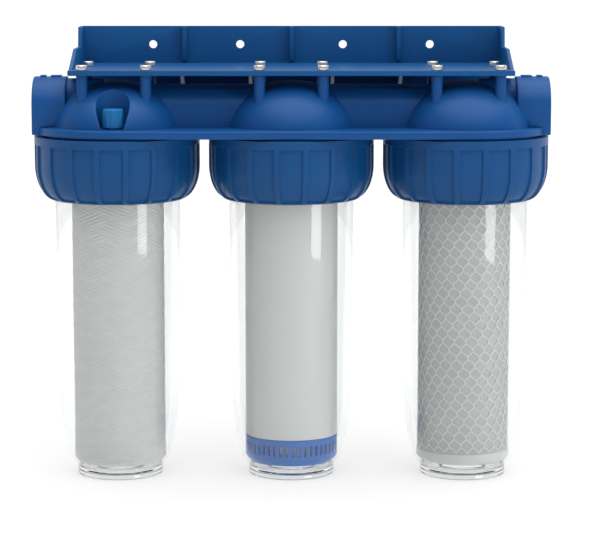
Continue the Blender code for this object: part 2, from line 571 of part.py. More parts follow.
def build_carbon_tube():
    """The second stage: a closed tube of granular carbon that water climbs through, end to end."""
    at = at_stage(1)
    shell_inside = 32.1 * MM
    shell_bottom = 31.1 * MM
    shell_top = CARTRIDGE_TOP_Z - 14.0 * MM
    gasket = 3.0 * MM
    plug = shell_inside - GAP
    pad = 5.0 * MM
    tube("carbon_tube_shell", CARTRIDGE_RADIUS, shell_inside, shell_bottom, shell_top, SHELL_WHITE, at)
    lip = 4.0 * MM
    wall_inside = CARTRIDGE_RADIUS - 3.1 * MM
    cap_floor_z = CARTRIDGE_BASE_Z + 2.4 * MM
    well = 12.6 * MM
    well_top_z = 22.6 * MM
    well_wall = 15.0 * MM
    well_roof_z = well_top_z + 2.2 * MM
    chamfer = 3.0 * MM
    lower = [
        (0.0, well_roof_z), (well_wall, well_roof_z), (well_wall, cap_floor_z), (wall_inside, cap_floor_z),
        (wall_inside, shell_bottom - 1.7 * MM), (plug - 2.0 * MM, shell_bottom - GAP),
        (plug - 2.0 * MM, shell_bottom + lip), (plug, shell_bottom + lip), (plug, shell_bottom - GAP),
        (CARTRIDGE_RADIUS, shell_bottom - GAP), (CARTRIDGE_RADIUS, CARTRIDGE_BASE_Z + chamfer),
        (CARTRIDGE_RADIUS - chamfer, CARTRIDGE_BASE_Z), (well, CARTRIDGE_BASE_Z), (well, well_top_z),
        (0.0, well_top_z),
    ]
    cap = turned("carbon_tube_bottom_cap", lower, CAP_BLUE, at)
    slots = bmesh.new()
    slot = box((CARTRIDGE_RADIUS - 12.0 * MM, -MM, 19.0 * MM), (CARTRIDGE_RADIUS + 2.0 * MM, MM, 27.0 * MM))
    for number in range(ROUND // 2):
        known = len(slots.verts)
        slot(slots)
        slots.verts.ensure_lookup_table()
        rotate_about(slots, slots.verts[known:], (0, 0, 1), HALF_FACET * (4 * number + 1))
    slot_mesh = bpy.data.meshes.new("intake_slots")
    slots.to_mesh(slot_mesh)
    slots.free()
    combine(cap, add_object("intake_slots", slot_mesh, at=at), "DIFFERENCE")
    lining = wall_inside - GAP
    lining_top_z = shell_bottom - 2.2 * MM
    tube("carbon_tube_slot_felt", lining, lining - 1.3 * MM, cap_floor_z + GAP, lining_top_z, PAD_WHITE, at)
    outlet = 13.6 * MM
    cap_top = CARTRIDGE_TOP_Z - gasket
    upper = [
        (CARTRIDGE_RADIUS - MM, cap_top), (CARTRIDGE_RADIUS, cap_top - MM), (CARTRIDGE_RADIUS, shell_top + GAP),
        (plug, shell_top + GAP), (plug, shell_top - lip), (plug - 2.0 * MM, shell_top - lip),
        (plug - 2.0 * MM, cap_top - 3.0 * MM), (outlet, cap_top - 3.0 * MM), (outlet, cap_top),
    ]
    turned("carbon_tube_top_cap", upper, CAP_BLUE, at, closed=True)
    tube("carbon_tube_gasket", 25.0 * MM, outlet, cap_top + GAP, CARTRIDGE_TOP_Z, SEAL_BLACK, at, MIDDLE_ROUND)
    bed_bottom = shell_bottom + lip + GAP
    bed_top = shell_top - lip - GAP
    bed = plug - 0.2 * MM
    disc("carbon_tube_lower_pad", bed, bed_bottom, bed_bottom + pad, PAD_WHITE, at, MIDDLE_ROUND)
    disc("carbon_granules", bed, bed_bottom + pad + GAP, bed_top - pad - GAP, CARBON_BLACK, at, MIDDLE_ROUND)
    disc("carbon_tube_upper_pad", bed, bed_top - pad, bed_top, PAD_WHITE, at, MIDDLE_ROUND)


def build_carbon_block():
    """The third stage: a pressed carbon tube in felt and netting between two glued caps."""
    at = at_stage(2)
    gasket = 3.0 * MM
    gasket_radius = 26.0 * MM
    recess = gasket_radius + 0.6 * MM
    cap_height = 9.8 * MM
    plate = 2.5 * MM
    chamfer = 2.2 * MM
    hole = 13.2 * MM
    net_thickness = 0.5 * MM
    felt_outside = CARTRIDGE_RADIUS - net_thickness - 2 * GAP
    block_outside = felt_outside - 1.0 * MM - GAP
    block_bottom = CARTRIDGE_BASE_Z + gasket + GAP + plate + GAP
    block_top = CARTRIDGE_TOP_Z - gasket - GAP - plate - GAP
    wrap_bottom = CARTRIDGE_BASE_Z + cap_height
    wrap_top = CARTRIDGE_TOP_Z - cap_height
    tube("carbon_block", block_outside, hole, block_bottom, block_top, CARBON_BLACK, at)
    tube("carbon_block_felt", felt_outside, block_outside + GAP, wrap_bottom, wrap_top, FELT_GREY, at)
    net_outside = CARTRIDGE_RADIUS - GAP
    tube("carbon_block_net", net_outside, net_outside - net_thickness, wrap_bottom, wrap_top, NET_WHITE, at)
    for name, end_z, inward in (("bottom", CARTRIDGE_BASE_Z, 1), ("top", CARTRIDGE_TOP_Z, -1)):
        face = end_z + inward * (gasket + GAP)
        rim = end_z + inward * 0.8 * MM
        mouth = end_z + inward * (cap_height - GAP)
        cup = [
            (CARTRIDGE_RADIUS, mouth), (CARTRIDGE_RADIUS, rim + inward * chamfer),
            (CARTRIDGE_RADIUS - chamfer, rim), (recess, rim), (recess, face), (hole, face),
            (hole, face + inward * plate), (block_outside + GAP, face + inward * plate),
            (block_outside + GAP, mouth),
        ]
        if inward < 0:
            cup.reverse()
        turned(f"carbon_block_{name}_cap", cup, CAP_WHITE, at, closed=True)
        low, high = sorted((end_z, end_z + inward * gasket))
        tube(f"carbon_block_{name}_gasket", gasket_radius, hole, low, high, GASKET_WHITE, at, MIDDLE_ROUND)


screw_places = build_head()
build_bracket(screw_places)
build_screws(screw_places)
build_vent_screw()
for stage in range(3):
    build_lock_ring(stage)
    build_bowl(stage)
build_wound_cartridge()
build_carbon_tube()
build_carbon_block()
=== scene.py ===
# %% [markdown]
# # A three-stage cartridge filter housing
# The housing hangs from a wall bracket. One moulded head carries three stages in a row. Each stage has a
# clear bowl, a lock ring that screws the bowl up against the head, and its own cartridge: wound yarn,
# a tube of loose carbon, and a carbon block in felt and netting. The sizes and joints come from the frame,
# which is loaded first and never changed. Every visible piece is then built around it as a finer mesh.

# %% Load the frame
import math

import bmesh
import bpy
from mathutils import Matrix, Vector


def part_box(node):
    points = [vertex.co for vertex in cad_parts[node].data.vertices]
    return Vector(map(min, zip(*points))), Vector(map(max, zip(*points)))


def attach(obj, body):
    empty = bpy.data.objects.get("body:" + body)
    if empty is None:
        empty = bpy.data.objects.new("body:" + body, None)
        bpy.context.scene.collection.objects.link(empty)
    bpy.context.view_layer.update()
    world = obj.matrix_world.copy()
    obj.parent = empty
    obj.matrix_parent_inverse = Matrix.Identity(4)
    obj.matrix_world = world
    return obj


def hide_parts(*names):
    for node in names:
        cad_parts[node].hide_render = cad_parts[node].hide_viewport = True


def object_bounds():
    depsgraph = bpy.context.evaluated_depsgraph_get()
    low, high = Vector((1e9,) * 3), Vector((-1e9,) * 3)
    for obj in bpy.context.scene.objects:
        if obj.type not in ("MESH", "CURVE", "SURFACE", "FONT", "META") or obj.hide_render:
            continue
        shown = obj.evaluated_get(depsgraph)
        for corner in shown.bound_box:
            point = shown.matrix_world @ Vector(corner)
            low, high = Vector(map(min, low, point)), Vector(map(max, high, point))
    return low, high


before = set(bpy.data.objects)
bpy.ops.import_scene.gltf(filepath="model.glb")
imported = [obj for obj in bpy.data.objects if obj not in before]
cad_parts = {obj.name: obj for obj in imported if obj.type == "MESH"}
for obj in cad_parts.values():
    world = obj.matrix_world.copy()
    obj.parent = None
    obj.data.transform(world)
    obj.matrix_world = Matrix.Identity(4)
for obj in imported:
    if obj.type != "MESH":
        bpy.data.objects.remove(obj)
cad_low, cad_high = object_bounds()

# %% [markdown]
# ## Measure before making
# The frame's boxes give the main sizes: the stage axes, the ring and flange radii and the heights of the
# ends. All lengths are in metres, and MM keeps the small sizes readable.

MM = 0.001
TURN = 2 * math.pi

ring_low, ring_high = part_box("lock_ring_2")
head_low, head_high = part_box("head_manifold")
yarn_low, yarn_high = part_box("wound_yarn")
bracket_low, bracket_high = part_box("wall_bracket")
STAGE_Y = (ring_low.y + ring_high.y) / 2
STAGE_X = [sum(corner.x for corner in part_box(f"lock_ring_{stage}")) / 2 for stage in (1, 2, 3)]
RING_RADIUS = (ring_high.y - ring_low.y) / 2
FLANGE_RADIUS = (head_high.y - head_low.y) / 2
CARTRIDGE_RADIUS = (yarn_high.y - yarn_low.y) / 2
print(f"stage axes at x {[round(x / MM, 1) for x in STAGE_X]} mm, y {STAGE_Y / MM:.1f} mm")
print(f"ring radius {RING_RADIUS / MM:.1f}, flange {FLANGE_RADIUS / MM:.1f}, "
      f"cartridge {CARTRIDGE_RADIUS / MM:.1f} mm")

# %% [markdown]
# ## Camera
# The catalogue view is taken from a little above the shelf, level with the middle stage, through a long
# lens that keeps the three bowls nearly parallel. The camera is aimed with one tilt and no shift, so the
# uprights stay upright.

# %% Set up the camera
camera = bpy.data.objects.new("catalogue_camera", bpy.data.cameras.new("catalogue_camera"))
camera.data.sensor_width = 36.0
camera.data.lens = 139.86
camera.data.clip_end = 80.0
camera.location = (0.0027, STAGE_Y - 1.6946, 0.3995)
camera.rotation_euler = (math.radians(90 - 8.249), 0.0, 0.0)
bpy.context.scene.collection.objects.link(camera)
bpy.context.scene.camera = camera
print(f"camera {-camera.location.y:.2f} m in front, {camera.location.z:.2f} m up")

# %% [markdown]
# ## Light
# Clear bowls show what surrounds them more than themselves, so a glowing table and backdrop stand round
# them. The room itself is dim, which leaves the space under the shelf dark. One very wide sun high in front
# is the overhead softbox: it makes the shelf the brightest blue and puts the broad sheen on the domes. A sun
# lights the far floor as much as the near floor, so the backdrop stays white. A small softbox at the right
# front brings out the right sides of the cartridges. Its own mirror image is hidden, since it would draw a
# bright stripe down each bowl. The Standard view keeps whites white.

# %% Light the room
bpy.context.scene.view_settings.view_transform = "Standard"
ROOM_LIGHT = 0.28
room = bpy.data.worlds.new("dim_white_room")
room.use_nodes = True
room.node_tree.nodes["Background"].inputs["Color"].default_value = (1.0, 1.0, 1.0, 1.0)
room.node_tree.nodes["Background"].inputs["Strength"].default_value = ROOM_LIGHT
bpy.context.scene.world = room
overhead = bpy.data.objects.new("overhead_softbox", bpy.data.lights.new("overhead_softbox", "SUN"))
overhead.data.angle = math.radians(80)
overhead.data.energy = 3.6
overhead.rotation_euler = (math.radians(10), math.radians(5), 0.0)
side_lamp = bpy.data.lights.new("right_softbox", "AREA")
side_lamp.size, side_lamp.energy = 0.7, 12.0
side = bpy.data.objects.new("right_softbox", side_lamp)
side.location = (1.53, STAGE_Y - 1.29, 0.22)
side.rotation_euler = (Vector((0.0, STAGE_Y, 0.15)) - side.location).to_track_quat("-Z", "Y").to_euler()
side.visible_glossy = False
for lamp in (overhead, side):
    bpy.context.scene.collection.objects.link(lamp)
print(f"room {ROOM_LIGHT}, sun {overhead.data.energy:.1f} W/m2, right softbox {side_lamp.energy:.0f} W")

# %% [markdown]
# ## Shared ways of making things
# Most pieces here are turned: their section is drawn once as a wire, its corners are rounded with a vertex
# bevel, and it is spun round the stage's axis. The others are blocks and bars with bevelled edges. Each
# helper gives back a bmesh, so shapes can still be cut, joined or moved before they become a piece.

# %% Helpers that make shapes
SMOOTH_TURN = 96
SMALL_TURN = 48
ROUNDING_STEPS = 4
WELD = 0.002 * MM


def move(shape, by):
    """Moves a whole shape."""
    bmesh.ops.translate(shape, vec=by, verts=shape.verts)


def rotate(shape, angle, axis="Z"):
    """Turns a whole shape about an axis through the origin."""
    bmesh.ops.rotate(shape, cent=(0, 0, 0), matrix=Matrix.Rotation(angle, 3, axis), verts=shape.verts)


def points(geometry):
    """Only the vertices of what an operator gave back."""
    return [item for item in geometry if isinstance(item, bmesh.types.BMVert)]


def bevel(shape, geometry, offset, steps, affect="EDGES"):
    """Rounds edges, or a wire's corners, with an even arc."""
    bmesh.ops.bevel(shape, geom=geometry, offset=offset, offset_type="OFFSET", affect=affect,
                    segments=steps, profile=0.5, material=-1)


def spin(shape, steps, angle=TURN, climb=0.0, merge=True):
    """Sweeps everything in a shape about the upright axis, with a climb at each step."""
    bmesh.ops.spin(shape, geom=shape.verts[:] + shape.edges[:] + shape.faces[:], cent=(0, 0, 0),
                   axis=(0, 0, 1), dvec=(0, 0, climb), angle=angle, steps=steps, use_merge=merge)


def arc(centre_r, centre_z, half_width, half_height, start, end, count):
    """Section points on an ellipse, from a start to an end angle in degrees above the horizontal."""
    angles = [math.radians(start + (end - start) * i / count) for i in range(count + 1)]
    return [(centre_r + half_width * math.cos(a), centre_z + half_height * math.sin(a), 0.0) for a in angles]


def mm(*section):
    """A section written in millimetres: radius from the axis, height, and the rounding of that corner."""
    return [tuple(value * MM for value in (*corner, 0.0)[:3]) for corner in section]


def turned(section, at=(0.0, 0.0), steps=SMOOTH_TURN, closed=True):
    """Spins a section about an upright axis. An open section starts and ends on the axis."""
    shape = bmesh.new()
    corners = [shape.verts.new((r, 0.0, z)) for r, z, _ in section]
    pairs = list(zip(corners, corners[1:])) + ([(corners[-1], corners[0])] if closed else [])
    for pair in pairs:
        shape.edges.new(pair)
    for corner, (_, _, rounding) in zip(corners, section):
        if rounding:
            bevel(shape, [corner], rounding, ROUNDING_STEPS, "VERTICES")
    spin(shape, steps)
    bmesh.ops.remove_doubles(shape, verts=shape.verts, dist=WELD)
    bmesh.ops.recalc_face_normals(shape, faces=shape.faces)
    move(shape, (*at, 0.0))
    return shape


def block(low, high, edge=0.4 * MM):
    """A block between two corners with rounded edges."""
    shape = bmesh.new()
    bmesh.ops.create_cube(shape, size=1.0)
    bmesh.ops.scale(shape, vec=[h - l for l, h in zip(low, high)], verts=shape.verts)
    move(shape, [(l + h) / 2 for l, h in zip(low, high)])
    if edge:
        bevel(shape, shape.edges[:], edge, 2)
    return shape


def rod(start, end, radius, steps=SMALL_TURN, phase=0.0):
    """A straight bar of round section between two points."""
    shape = bmesh.new()
    way = Vector(end) - Vector(start)
    bmesh.ops.create_cone(shape, cap_ends=True, segments=steps, radius1=radius, radius2=radius,
                          depth=way.length)
    rotate(shape, phase)
    bmesh.ops.rotate(shape, cent=(0, 0, 0), matrix=way.to_track_quat("Z", "Y").to_matrix(), verts=shape.verts)
    move(shape, (Vector(start) + Vector(end)) / 2)
    return shape


def gathered(*shapes):
    """Several shapes in one bmesh, still separate bodies."""
    whole = bmesh.new()
    for shape in shapes:
        mesh = bpy.data.meshes.new("part")
        shape.to_mesh(mesh)
        shape.free()
        whole.from_mesh(mesh)
        bpy.data.meshes.remove(mesh)
    return whole


def thread(radius, crest, bottom, pitch, turns, at, flat=0.35):
    """A screw thread's ridge: a small trapezium spun about the axis while it climbs one pitch a turn."""
    shape = bmesh.new()
    half = pitch * flat / 2
    root = half * 1.9
    corners = [(radius, -root), (radius, root), (crest, half), (crest, -half)]
    loop = [shape.verts.new((r, 0.0, bottom + z)) for r, z in corners]
    shape.faces.new(loop)
    spin(shape, SMALL_TURN * turns, TURN * turns, pitch / SMALL_TURN, False)
    bmesh.ops.recalc_face_normals(shape, faces=shape.faces)
    move(shape, (*at, 0.0))
    return shape

# %% [markdown]
# A shape becomes a piece when it gets a name, a material, the frame body that it moves with and the frame
# nodes that it stands for. Smooth shading with a sharp angle keeps edges crisp.
# Cutting and joining are exact Boolean steps, settled into plain mesh.


# %% Helpers that make pieces
def piece(name, shape, finish, body, slot, *nodes):
    """Turns a shape into a finished piece of the object."""
    mesh = bpy.data.meshes.new(name)
    shape.to_mesh(mesh)
    shape.free()
    mesh.materials.append(finish)
    made = bpy.data.objects.new(name, mesh)
    bpy.context.scene.collection.objects.link(made)
    shade(made)
    if nodes:
        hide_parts(*nodes)
    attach(made, body)
    return made


def shade(made, sharp=32):
    """Smooth faces, with edges over an angle in degrees left sharp."""
    made.data.shade_smooth()
    made.data.set_sharp_from_angle(angle=math.radians(sharp))


def worked(shape, *steps):
    """Joins shapes to a shape, or cuts them from it, in order, and gives back the result."""
    made = bpy.data.objects.new("workpiece", bpy.data.meshes.new("workpiece"))
    shape.to_mesh(made.data)
    shape.free()
    bpy.context.scene.collection.objects.link(made)
    for number, (operation, tool_shape) in enumerate(steps):
        tool = bpy.data.objects.new(f"tool_{number}", bpy.data.meshes.new("tool"))
        tool_shape.to_mesh(tool.data)
        tool_shape.free()
        bpy.context.scene.collection.objects.link(tool)
        step = made.modifiers.new(f"step_{number}", "BOOLEAN")
        step.object, step.operation, step.solver = tool, operation, "EXACT"
    settled = bpy.data.meshes.new_from_object(made.evaluated_get(bpy.context.evaluated_depsgraph_get()))
    for used in [step.object for step in made.modifiers] + [made]:
        bpy.data.objects.remove(used)
    result = bmesh.new()
    result.from_mesh(settled)
    bpy.data.meshes.remove(settled)
    bmesh.ops.remove_doubles(result, verts=result.verts, dist=WELD)
    return result


def count(made):
    """Prints a piece's size and says whether its surface is closed."""
    check = bmesh.new()
    check.from_mesh(made.data)
    loose = sum(1 for edge in check.edges if not edge.is_manifold)
    check.free()
    triangles = sum(len(face.vertices) - 2 for face in made.data.polygons)
    print(f"{made.name}: {triangles} triangles, {'closed' if not loose else f'{loose} open edges'}")
    return made

# %% [markdown]
# ## Moulded polypropylene
# Head, rings and bracket are injection-moulded polypropylene, coloured in the mass, and the knob is nylon.
# The spark-eroded mould gives a fine satin grain, and slow flow leaves the colour a little uneven. Three
# patterns draw that: a large noise for colour, a middle one for gloss and a fine one for grain. The grain is
# about 0.9 mm, coarser than the real 0.1 mm, so that it still shows at catalogue distance.


# %% Helpers that make finishes
def colour(hex_text):
    """An sRGB hex colour as the linear values that a shader works in."""
    parts = [int(hex_text[i:i + 2], 16) / 255 for i in (0, 2, 4)]
    return (*[p / 12.92 if p <= 0.04045 else ((p + 0.055) / 1.055) ** 2.4 for p in parts], 1.0)


def new_finish(name, **values):
    """A material with uniform values on its shader's own sockets, and its object coordinates as a start."""
    finish = bpy.data.materials.new(name)
    finish.use_nodes = True
    shader = finish.node_tree.nodes["Principled BSDF"]
    for socket, value in values.items():
        shader.inputs[socket.replace("_", " ")].default_value = value
    place = finish.node_tree.nodes.new("ShaderNodeTexCoord").outputs["Object"]
    return finish, place


def add_node(finish, kind, inputs, feeds=None, **settings):
    """Adds a node with its settings, sets or links its inputs, and links its outputs to the shader."""
    made = finish.node_tree.nodes.new(kind)
    shader = finish.node_tree.nodes["Principled BSDF"]
    for setting, value in settings.items():
        setattr(made, setting, value)
    for socket, value in inputs.items():
        if isinstance(value, bpy.types.NodeSocket):
            finish.node_tree.links.new(value, made.inputs[socket])
        else:
            made.inputs[socket].default_value = value
    for output, socket in (feeds or {}).items():
        finish.node_tree.links.new(made.outputs[output], shader.inputs[socket])
    return made


def noise(finish, place, size, detail):
    """A noise pattern whose blotches are about a size across."""
    return add_node(finish, "ShaderNodeTexNoise", {"Vector": place, "Scale": 1 / size, "Detail": detail})


def feed_colour(finish, pattern, deep, pale):
    """Lets a pattern mix the base colour from two hex colours."""
    add_node(finish, "ShaderNodeMix", {0: pattern, 6: colour(deep), 7: colour(pale)},
             {2: "Base Color"}, data_type="RGBA")


def feed_roughness(finish, pattern, least, most):
    """Lets a pattern vary the roughness between two values."""
    add_node(finish, "ShaderNodeMapRange", {"Value": pattern, "To Min": least, "To Max": most},
             {"Result": "Roughness"})


def feed_bump(finish, pattern, strength, depth):
    """Lets a pattern raise the surface by up to a depth in metres."""
    add_node(finish, "ShaderNodeBump", {"Height": pattern, "Strength": strength, "Distance": depth},
             {"Normal": "Normal"})


def moulded_polypropylene(name, deep, pale, gloss=(0.34, 0.46)):
    """Satin moulded polypropylene between two colours, with its roughness between two values."""
    finish, place = new_finish(name, IOR=1.49, Specular_IOR_Level=0.2)
    flow = noise(finish, place, 34 * MM, 3.0)
    feed_colour(finish, flow.outputs["Fac"], deep, pale)
    sheen = noise(finish, place, 7 * MM, 2.0)
    feed_roughness(finish, sheen.outputs["Fac"], gloss[0], gloss[1])
    grain = noise(finish, place, 0.9 * MM, 2.0)
    feed_bump(finish, grain.outputs["Fac"], 0.16, 0.12 * MM)
    return finish


HEAD_BLUE = moulded_polypropylene("moulded_polypropylene_head_blue", "0f4580", "134d8a")
RING_BLUE = moulded_polypropylene("moulded_polypropylene_ring_blue", "0e4478", "124c82", (0.30, 0.42))
# The bracket's blue is a little lighter than the head's. That is painted light: it stands in for the brighter
# overhead light on the shelf top.
BRACKET_BLUE_PAINTED_LIGHT = moulded_polypropylene("moulded_polypropylene_bracket_blue_painted_light", "0e4a80", "115188")
KNOB_BLUE = moulded_polypropylene("moulded_nylon_knob_blue", "17629a", "1c6aa2", (0.28, 0.38))
print("blue finishes:", [m.name for m in (HEAD_BLUE, RING_BLUE, BRACKET_BLUE_PAINTED_LIGHT, KNOB_BLUE)])

# %% [markdown]
# ## Head
# The real head is one moulding: a flange as long as the housing, a dome and a threaded skirt for each stage,
# arched bars between the domes that hide the water passages, an arched port at each end, and posts that
# the bracket is screwed to. It is made the way a toolmaker thinks of it: the outer shapes are joined, then
# the hollows are cut out. Edges that stay visible are rounded before joining, because a bevel over a joined
# shape catches on the crossing lines.

# %% Sizes of the head
FLANGE_BOTTOM, FLANGE_TOP = 256.1 * MM, 261.8 * MM
DOME_HALF_WIDTH, DOME_HEIGHT, DOME_BASE, DOME_FULLNESS = 49.6 * MM, 41 * MM, 254 * MM, 2.2
CAVITY_CENTRE = 244.7 * MM
CAVITY_RADIUS = 46.9 * MM
SKIRT_RADIUS, SKIRT_BORE = 53.6 * MM, 48.8 * MM
SKIRT_BOTTOM, POST_TOP = head_low.z, head_high.z
PORT_END = head_high.x
PORT_DEPTH, PORT_BORE, PORT_CENTRE = 16.5 * MM, 12.6 * MM, 276.2 * MM
PASSAGE, PASSAGE_Z = 9.0 * MM, 275.0 * MM
VENT_Y = STAGE_Y - 39 * MM
POCKET_RADIUS, POCKET_FLOOR, POCKET_UNDERSIDE = 12.2 * MM, 262.2 * MM, 259.7 * MM
POSTS = [(x + side * 23.2 * MM, STAGE_Y + depth * 27 * MM)
         for x in STAGE_X for side in (-1, 1) for depth in (-1, 1)]


def ball_arc(radius, low_z, steps):
    """The section of a ball round the cavity's centre, from its crown down to a height."""
    low = math.degrees(math.asin((low_z - CAVITY_CENTRE) / radius))
    points = arc(0.0, CAVITY_CENTRE, radius, radius, 90.0, low, steps)
    return [(0.0, CAVITY_CENTRE + radius, 0.0)] + points[1:]


def dome_radius(z):
    """The dome's radius at a height: a rounded square's curve, fuller at the shoulder than a circle."""
    return DOME_HALF_WIDTH * (1 - ((z - DOME_BASE) / DOME_HEIGHT) ** DOME_FULLNESS) ** (1 / DOME_FULLNESS)


def dome_section(low_z, steps):
    """The dome's section from its crown down to a height, with closer points near the crown."""
    low = math.asin((low_z - DOME_BASE) / DOME_HEIGHT)
    heights = [DOME_BASE + DOME_HEIGHT * math.sin(TURN / 4 + (low - TURN / 4) * i / steps)
               for i in range(1, steps + 1)]
    return [(0.0, DOME_BASE + DOME_HEIGHT, 0.0)] + [(dome_radius(z), z, 0.0) for z in heights]


crown = (DOME_BASE + DOME_HEIGHT) / MM
print(f"dome crown at {crown:.1f} mm, {len(POSTS)} posts up to {POST_TOP / MM:.1f} mm")

# %% [markdown]
# The flange starts as one disc. Its two halves are pulled apart by the stage pitch, which gives a long plate
# with round ends, and it is then extruded and its rims are rounded. The arched bars are a flat rectangle
# whose two top corners are bevelled by almost half its width, and then extruded along the housing. A
# slimmer, taller bar makes the neck between each port and its dome.


# %% Outer shapes of the head
def flange():
    """The long plate with round ends that the three domes stand on."""
    shape = bmesh.new()
    bmesh.ops.create_circle(shape, cap_ends=True, segments=SMOOTH_TURN, radius=FLANGE_RADIUS)
    rotate(shape, math.pi / SMOOTH_TURN)
    for vert in shape.verts:
        vert.co.x += math.copysign(STAGE_X[2], vert.co.x)
    raised = bmesh.ops.extrude_face_region(shape, geom=shape.faces[:])["geom"]
    bmesh.ops.translate(shape, vec=(0, 0, FLANGE_TOP - FLANGE_BOTTOM),
                        verts=points(raised))
    move(shape, (0, STAGE_Y, FLANGE_BOTTOM))
    bmesh.ops.recalc_face_normals(shape, faces=shape.faces)
    rims = [edge for edge in shape.edges if abs(edge.verts[0].co.z - edge.verts[1].co.z) < WELD]
    bevel(shape, rims, 0.9 * MM, 3)
    return shape


def arched_bar(half_width, crown, bottom, start_x, end_x, edge):
    """A bar of round-topped section lying along X, with its end faces' rims rounded."""
    shape = bmesh.new()
    bmesh.ops.create_grid(shape, x_segments=1, y_segments=1, size=0.5)
    bmesh.ops.scale(shape, vec=(2 * half_width, crown - bottom, 1.0), verts=shape.verts)
    top = [vert for vert in shape.verts if vert.co.y > 0]
    bevel(shape, top, half_width * 0.98, 20, "VERTICES")
    end = bmesh.ops.extrude_face_region(shape, geom=shape.faces[:])["geom"]
    bmesh.ops.translate(shape, vec=(0, 0, end_x - start_x),
                        verts=points(end))
    stand = Matrix(((0, 0, 1), (1, 0, 0), (0, 1, 0)))
    bmesh.ops.rotate(shape, cent=(0, 0, 0), matrix=stand, verts=shape.verts)
    move(shape, (start_x, STAGE_Y, (crown + bottom) / 2))
    bmesh.ops.recalc_face_normals(shape, faces=shape.faces)
    rims = [e for e in shape.edges if abs(e.verts[0].co.x - e.verts[1].co.x) < WELD]
    bevel(shape, rims, edge, 3)
    return shape


stage_section = dome_section(FLANGE_TOP - 1 * MM, 24) + [
    (SKIRT_RADIUS, FLANGE_BOTTOM + 2.6 * MM, 0.0), (SKIRT_RADIUS, SKIRT_BOTTOM, 0.5 * MM),
    (0.0, SKIRT_BOTTOM, 0.0)]
stage_bodies = [turned(stage_section, (x, STAGE_Y), closed=False) for x in STAGE_X]
crossover = arched_bar(19.8 * MM, 292.4 * MM, FLANGE_BOTTOM + 1 * MM, STAGE_X[0], STAGE_X[2], 0.6 * MM)
port_inner = STAGE_X[2] + 36 * MM
ports = [arched_bar(21.8 * MM, 298 * MM, FLANGE_BOTTOM + 0.2 * MM, start, end, 1.1 * MM)
         for start, end in ((-PORT_END, -port_inner), (port_inner, PORT_END))]
necks = [arched_bar(13.5 * MM, 296.6 * MM, FLANGE_BOTTOM + 0.7 * MM, start, end, 0.5 * MM)
         for start, end in ((-port_inner - 3 * MM, STAGE_X[0] - 10 * MM),
                            (STAGE_X[2] + 10 * MM, port_inner + 3 * MM))]
posts = gathered(*[rod((x, y, FLANGE_TOP + 1.2 * MM), (x, y, POST_TOP), 4.15 * MM, 24) for x, y in POSTS])
print(f"ports from {port_inner / MM:.0f} to {PORT_END / MM:.1f} mm out")

# %% [markdown]
# On top of each port are two short raised bars, and on its front a small raised pad, where the mould marks
# the way the water flows. They stay plain. Under each dome is a hub whose nose seals in the cartridge, and a
# link from the hub to the next passage. The first dome also has a pocket with a short pipe for the vent.

# %% Small raised shapes and inner shapes of the head
BAR_SPANS = ((169.5 * MM, 177.3 * MM), (180.8 * MM, 185.1 * MM))
flow_bars = [block((min(side * a, side * b), STAGE_Y - 4 * MM, 297.2 * MM),
                   (max(side * a, side * b), STAGE_Y + 4 * MM, 298.9 * MM))
             for side in (-1, 1) for a, b in BAR_SPANS]
front_pads = [block((min(side * 173.5 * MM, side * 184.4 * MM), STAGE_Y - 22.4 * MM, 262.4 * MM),
                    (max(side * 173.5 * MM, side * 184.4 * MM), STAGE_Y - 20 * MM, 266.3 * MM), 0.25 * MM)
              for side in (-1, 1)]
hub_section = mm((0, 292), (17, 292), (17, 259.4, 0.6), (12, 259.4), (12, 250.1, 1.2), (0, 250.1))
hubs = gathered(*[turned(hub_section, (x, STAGE_Y), SMALL_TURN, closed=False) for x in STAGE_X])
links = gathered(*[rod((x + 8 * MM, STAGE_Y, PASSAGE_Z), (x + 40 * MM, STAGE_Y, PASSAGE_Z), 12.2 * MM, 44,
                       0.021) for x in STAGE_X])
cavity_section = ball_arc(CAVITY_RADIUS, FLANGE_BOTTOM - 0.4 * MM, 16) + [
    (SKIRT_BORE, FLANGE_BOTTOM - 0.4 * MM, 0.0), (SKIRT_BORE, SKIRT_BOTTOM - MM, 0.0),
    (0.0, SKIRT_BOTTOM - MM, 0.0)]
cavities = gathered(*[turned(cavity_section, (x, STAGE_Y), 90, closed=False) for x in STAGE_X])
boss_section = ball_arc(CAVITY_RADIUS + 1.3 * MM, POCKET_UNDERSIDE - MM,
                        16) + [(0.0, POCKET_UNDERSIDE - MM, 0.0)]
boss_limit = turned(boss_section, (STAGE_X[0], STAGE_Y), closed=False)
vent_axis = (STAGE_X[0], VENT_Y)
vent_boss = worked(rod((*vent_axis, POCKET_UNDERSIDE), (*vent_axis, 292 * MM), POCKET_RADIUS + 3 * MM),
                   ("INTERSECT", boss_limit))
vent_pocket = rod((*vent_axis, POCKET_FLOOR), (*vent_axis, 296 * MM), POCKET_RADIUS, 64)
vent_pipe = rod((*vent_axis, POCKET_FLOOR - MM), (*vent_axis, 268.6 * MM), 4.9 * MM, 32, 0.05)
vent_bore = rod((*vent_axis, POCKET_UNDERSIDE - 3 * MM), (*vent_axis, 269 * MM), 2.8 * MM, 24)
print("hubs, links, cavities and the vent seat drawn")

# %% [markdown]
# The water's way is cut last: up through each hub, across to the next stage and out to the ports. Each
# port's socket has a chamfer at its mouth and a pipe thread inside. The thread is its own ridge, laid in the
# finished socket, and so are the threads of the skirts.

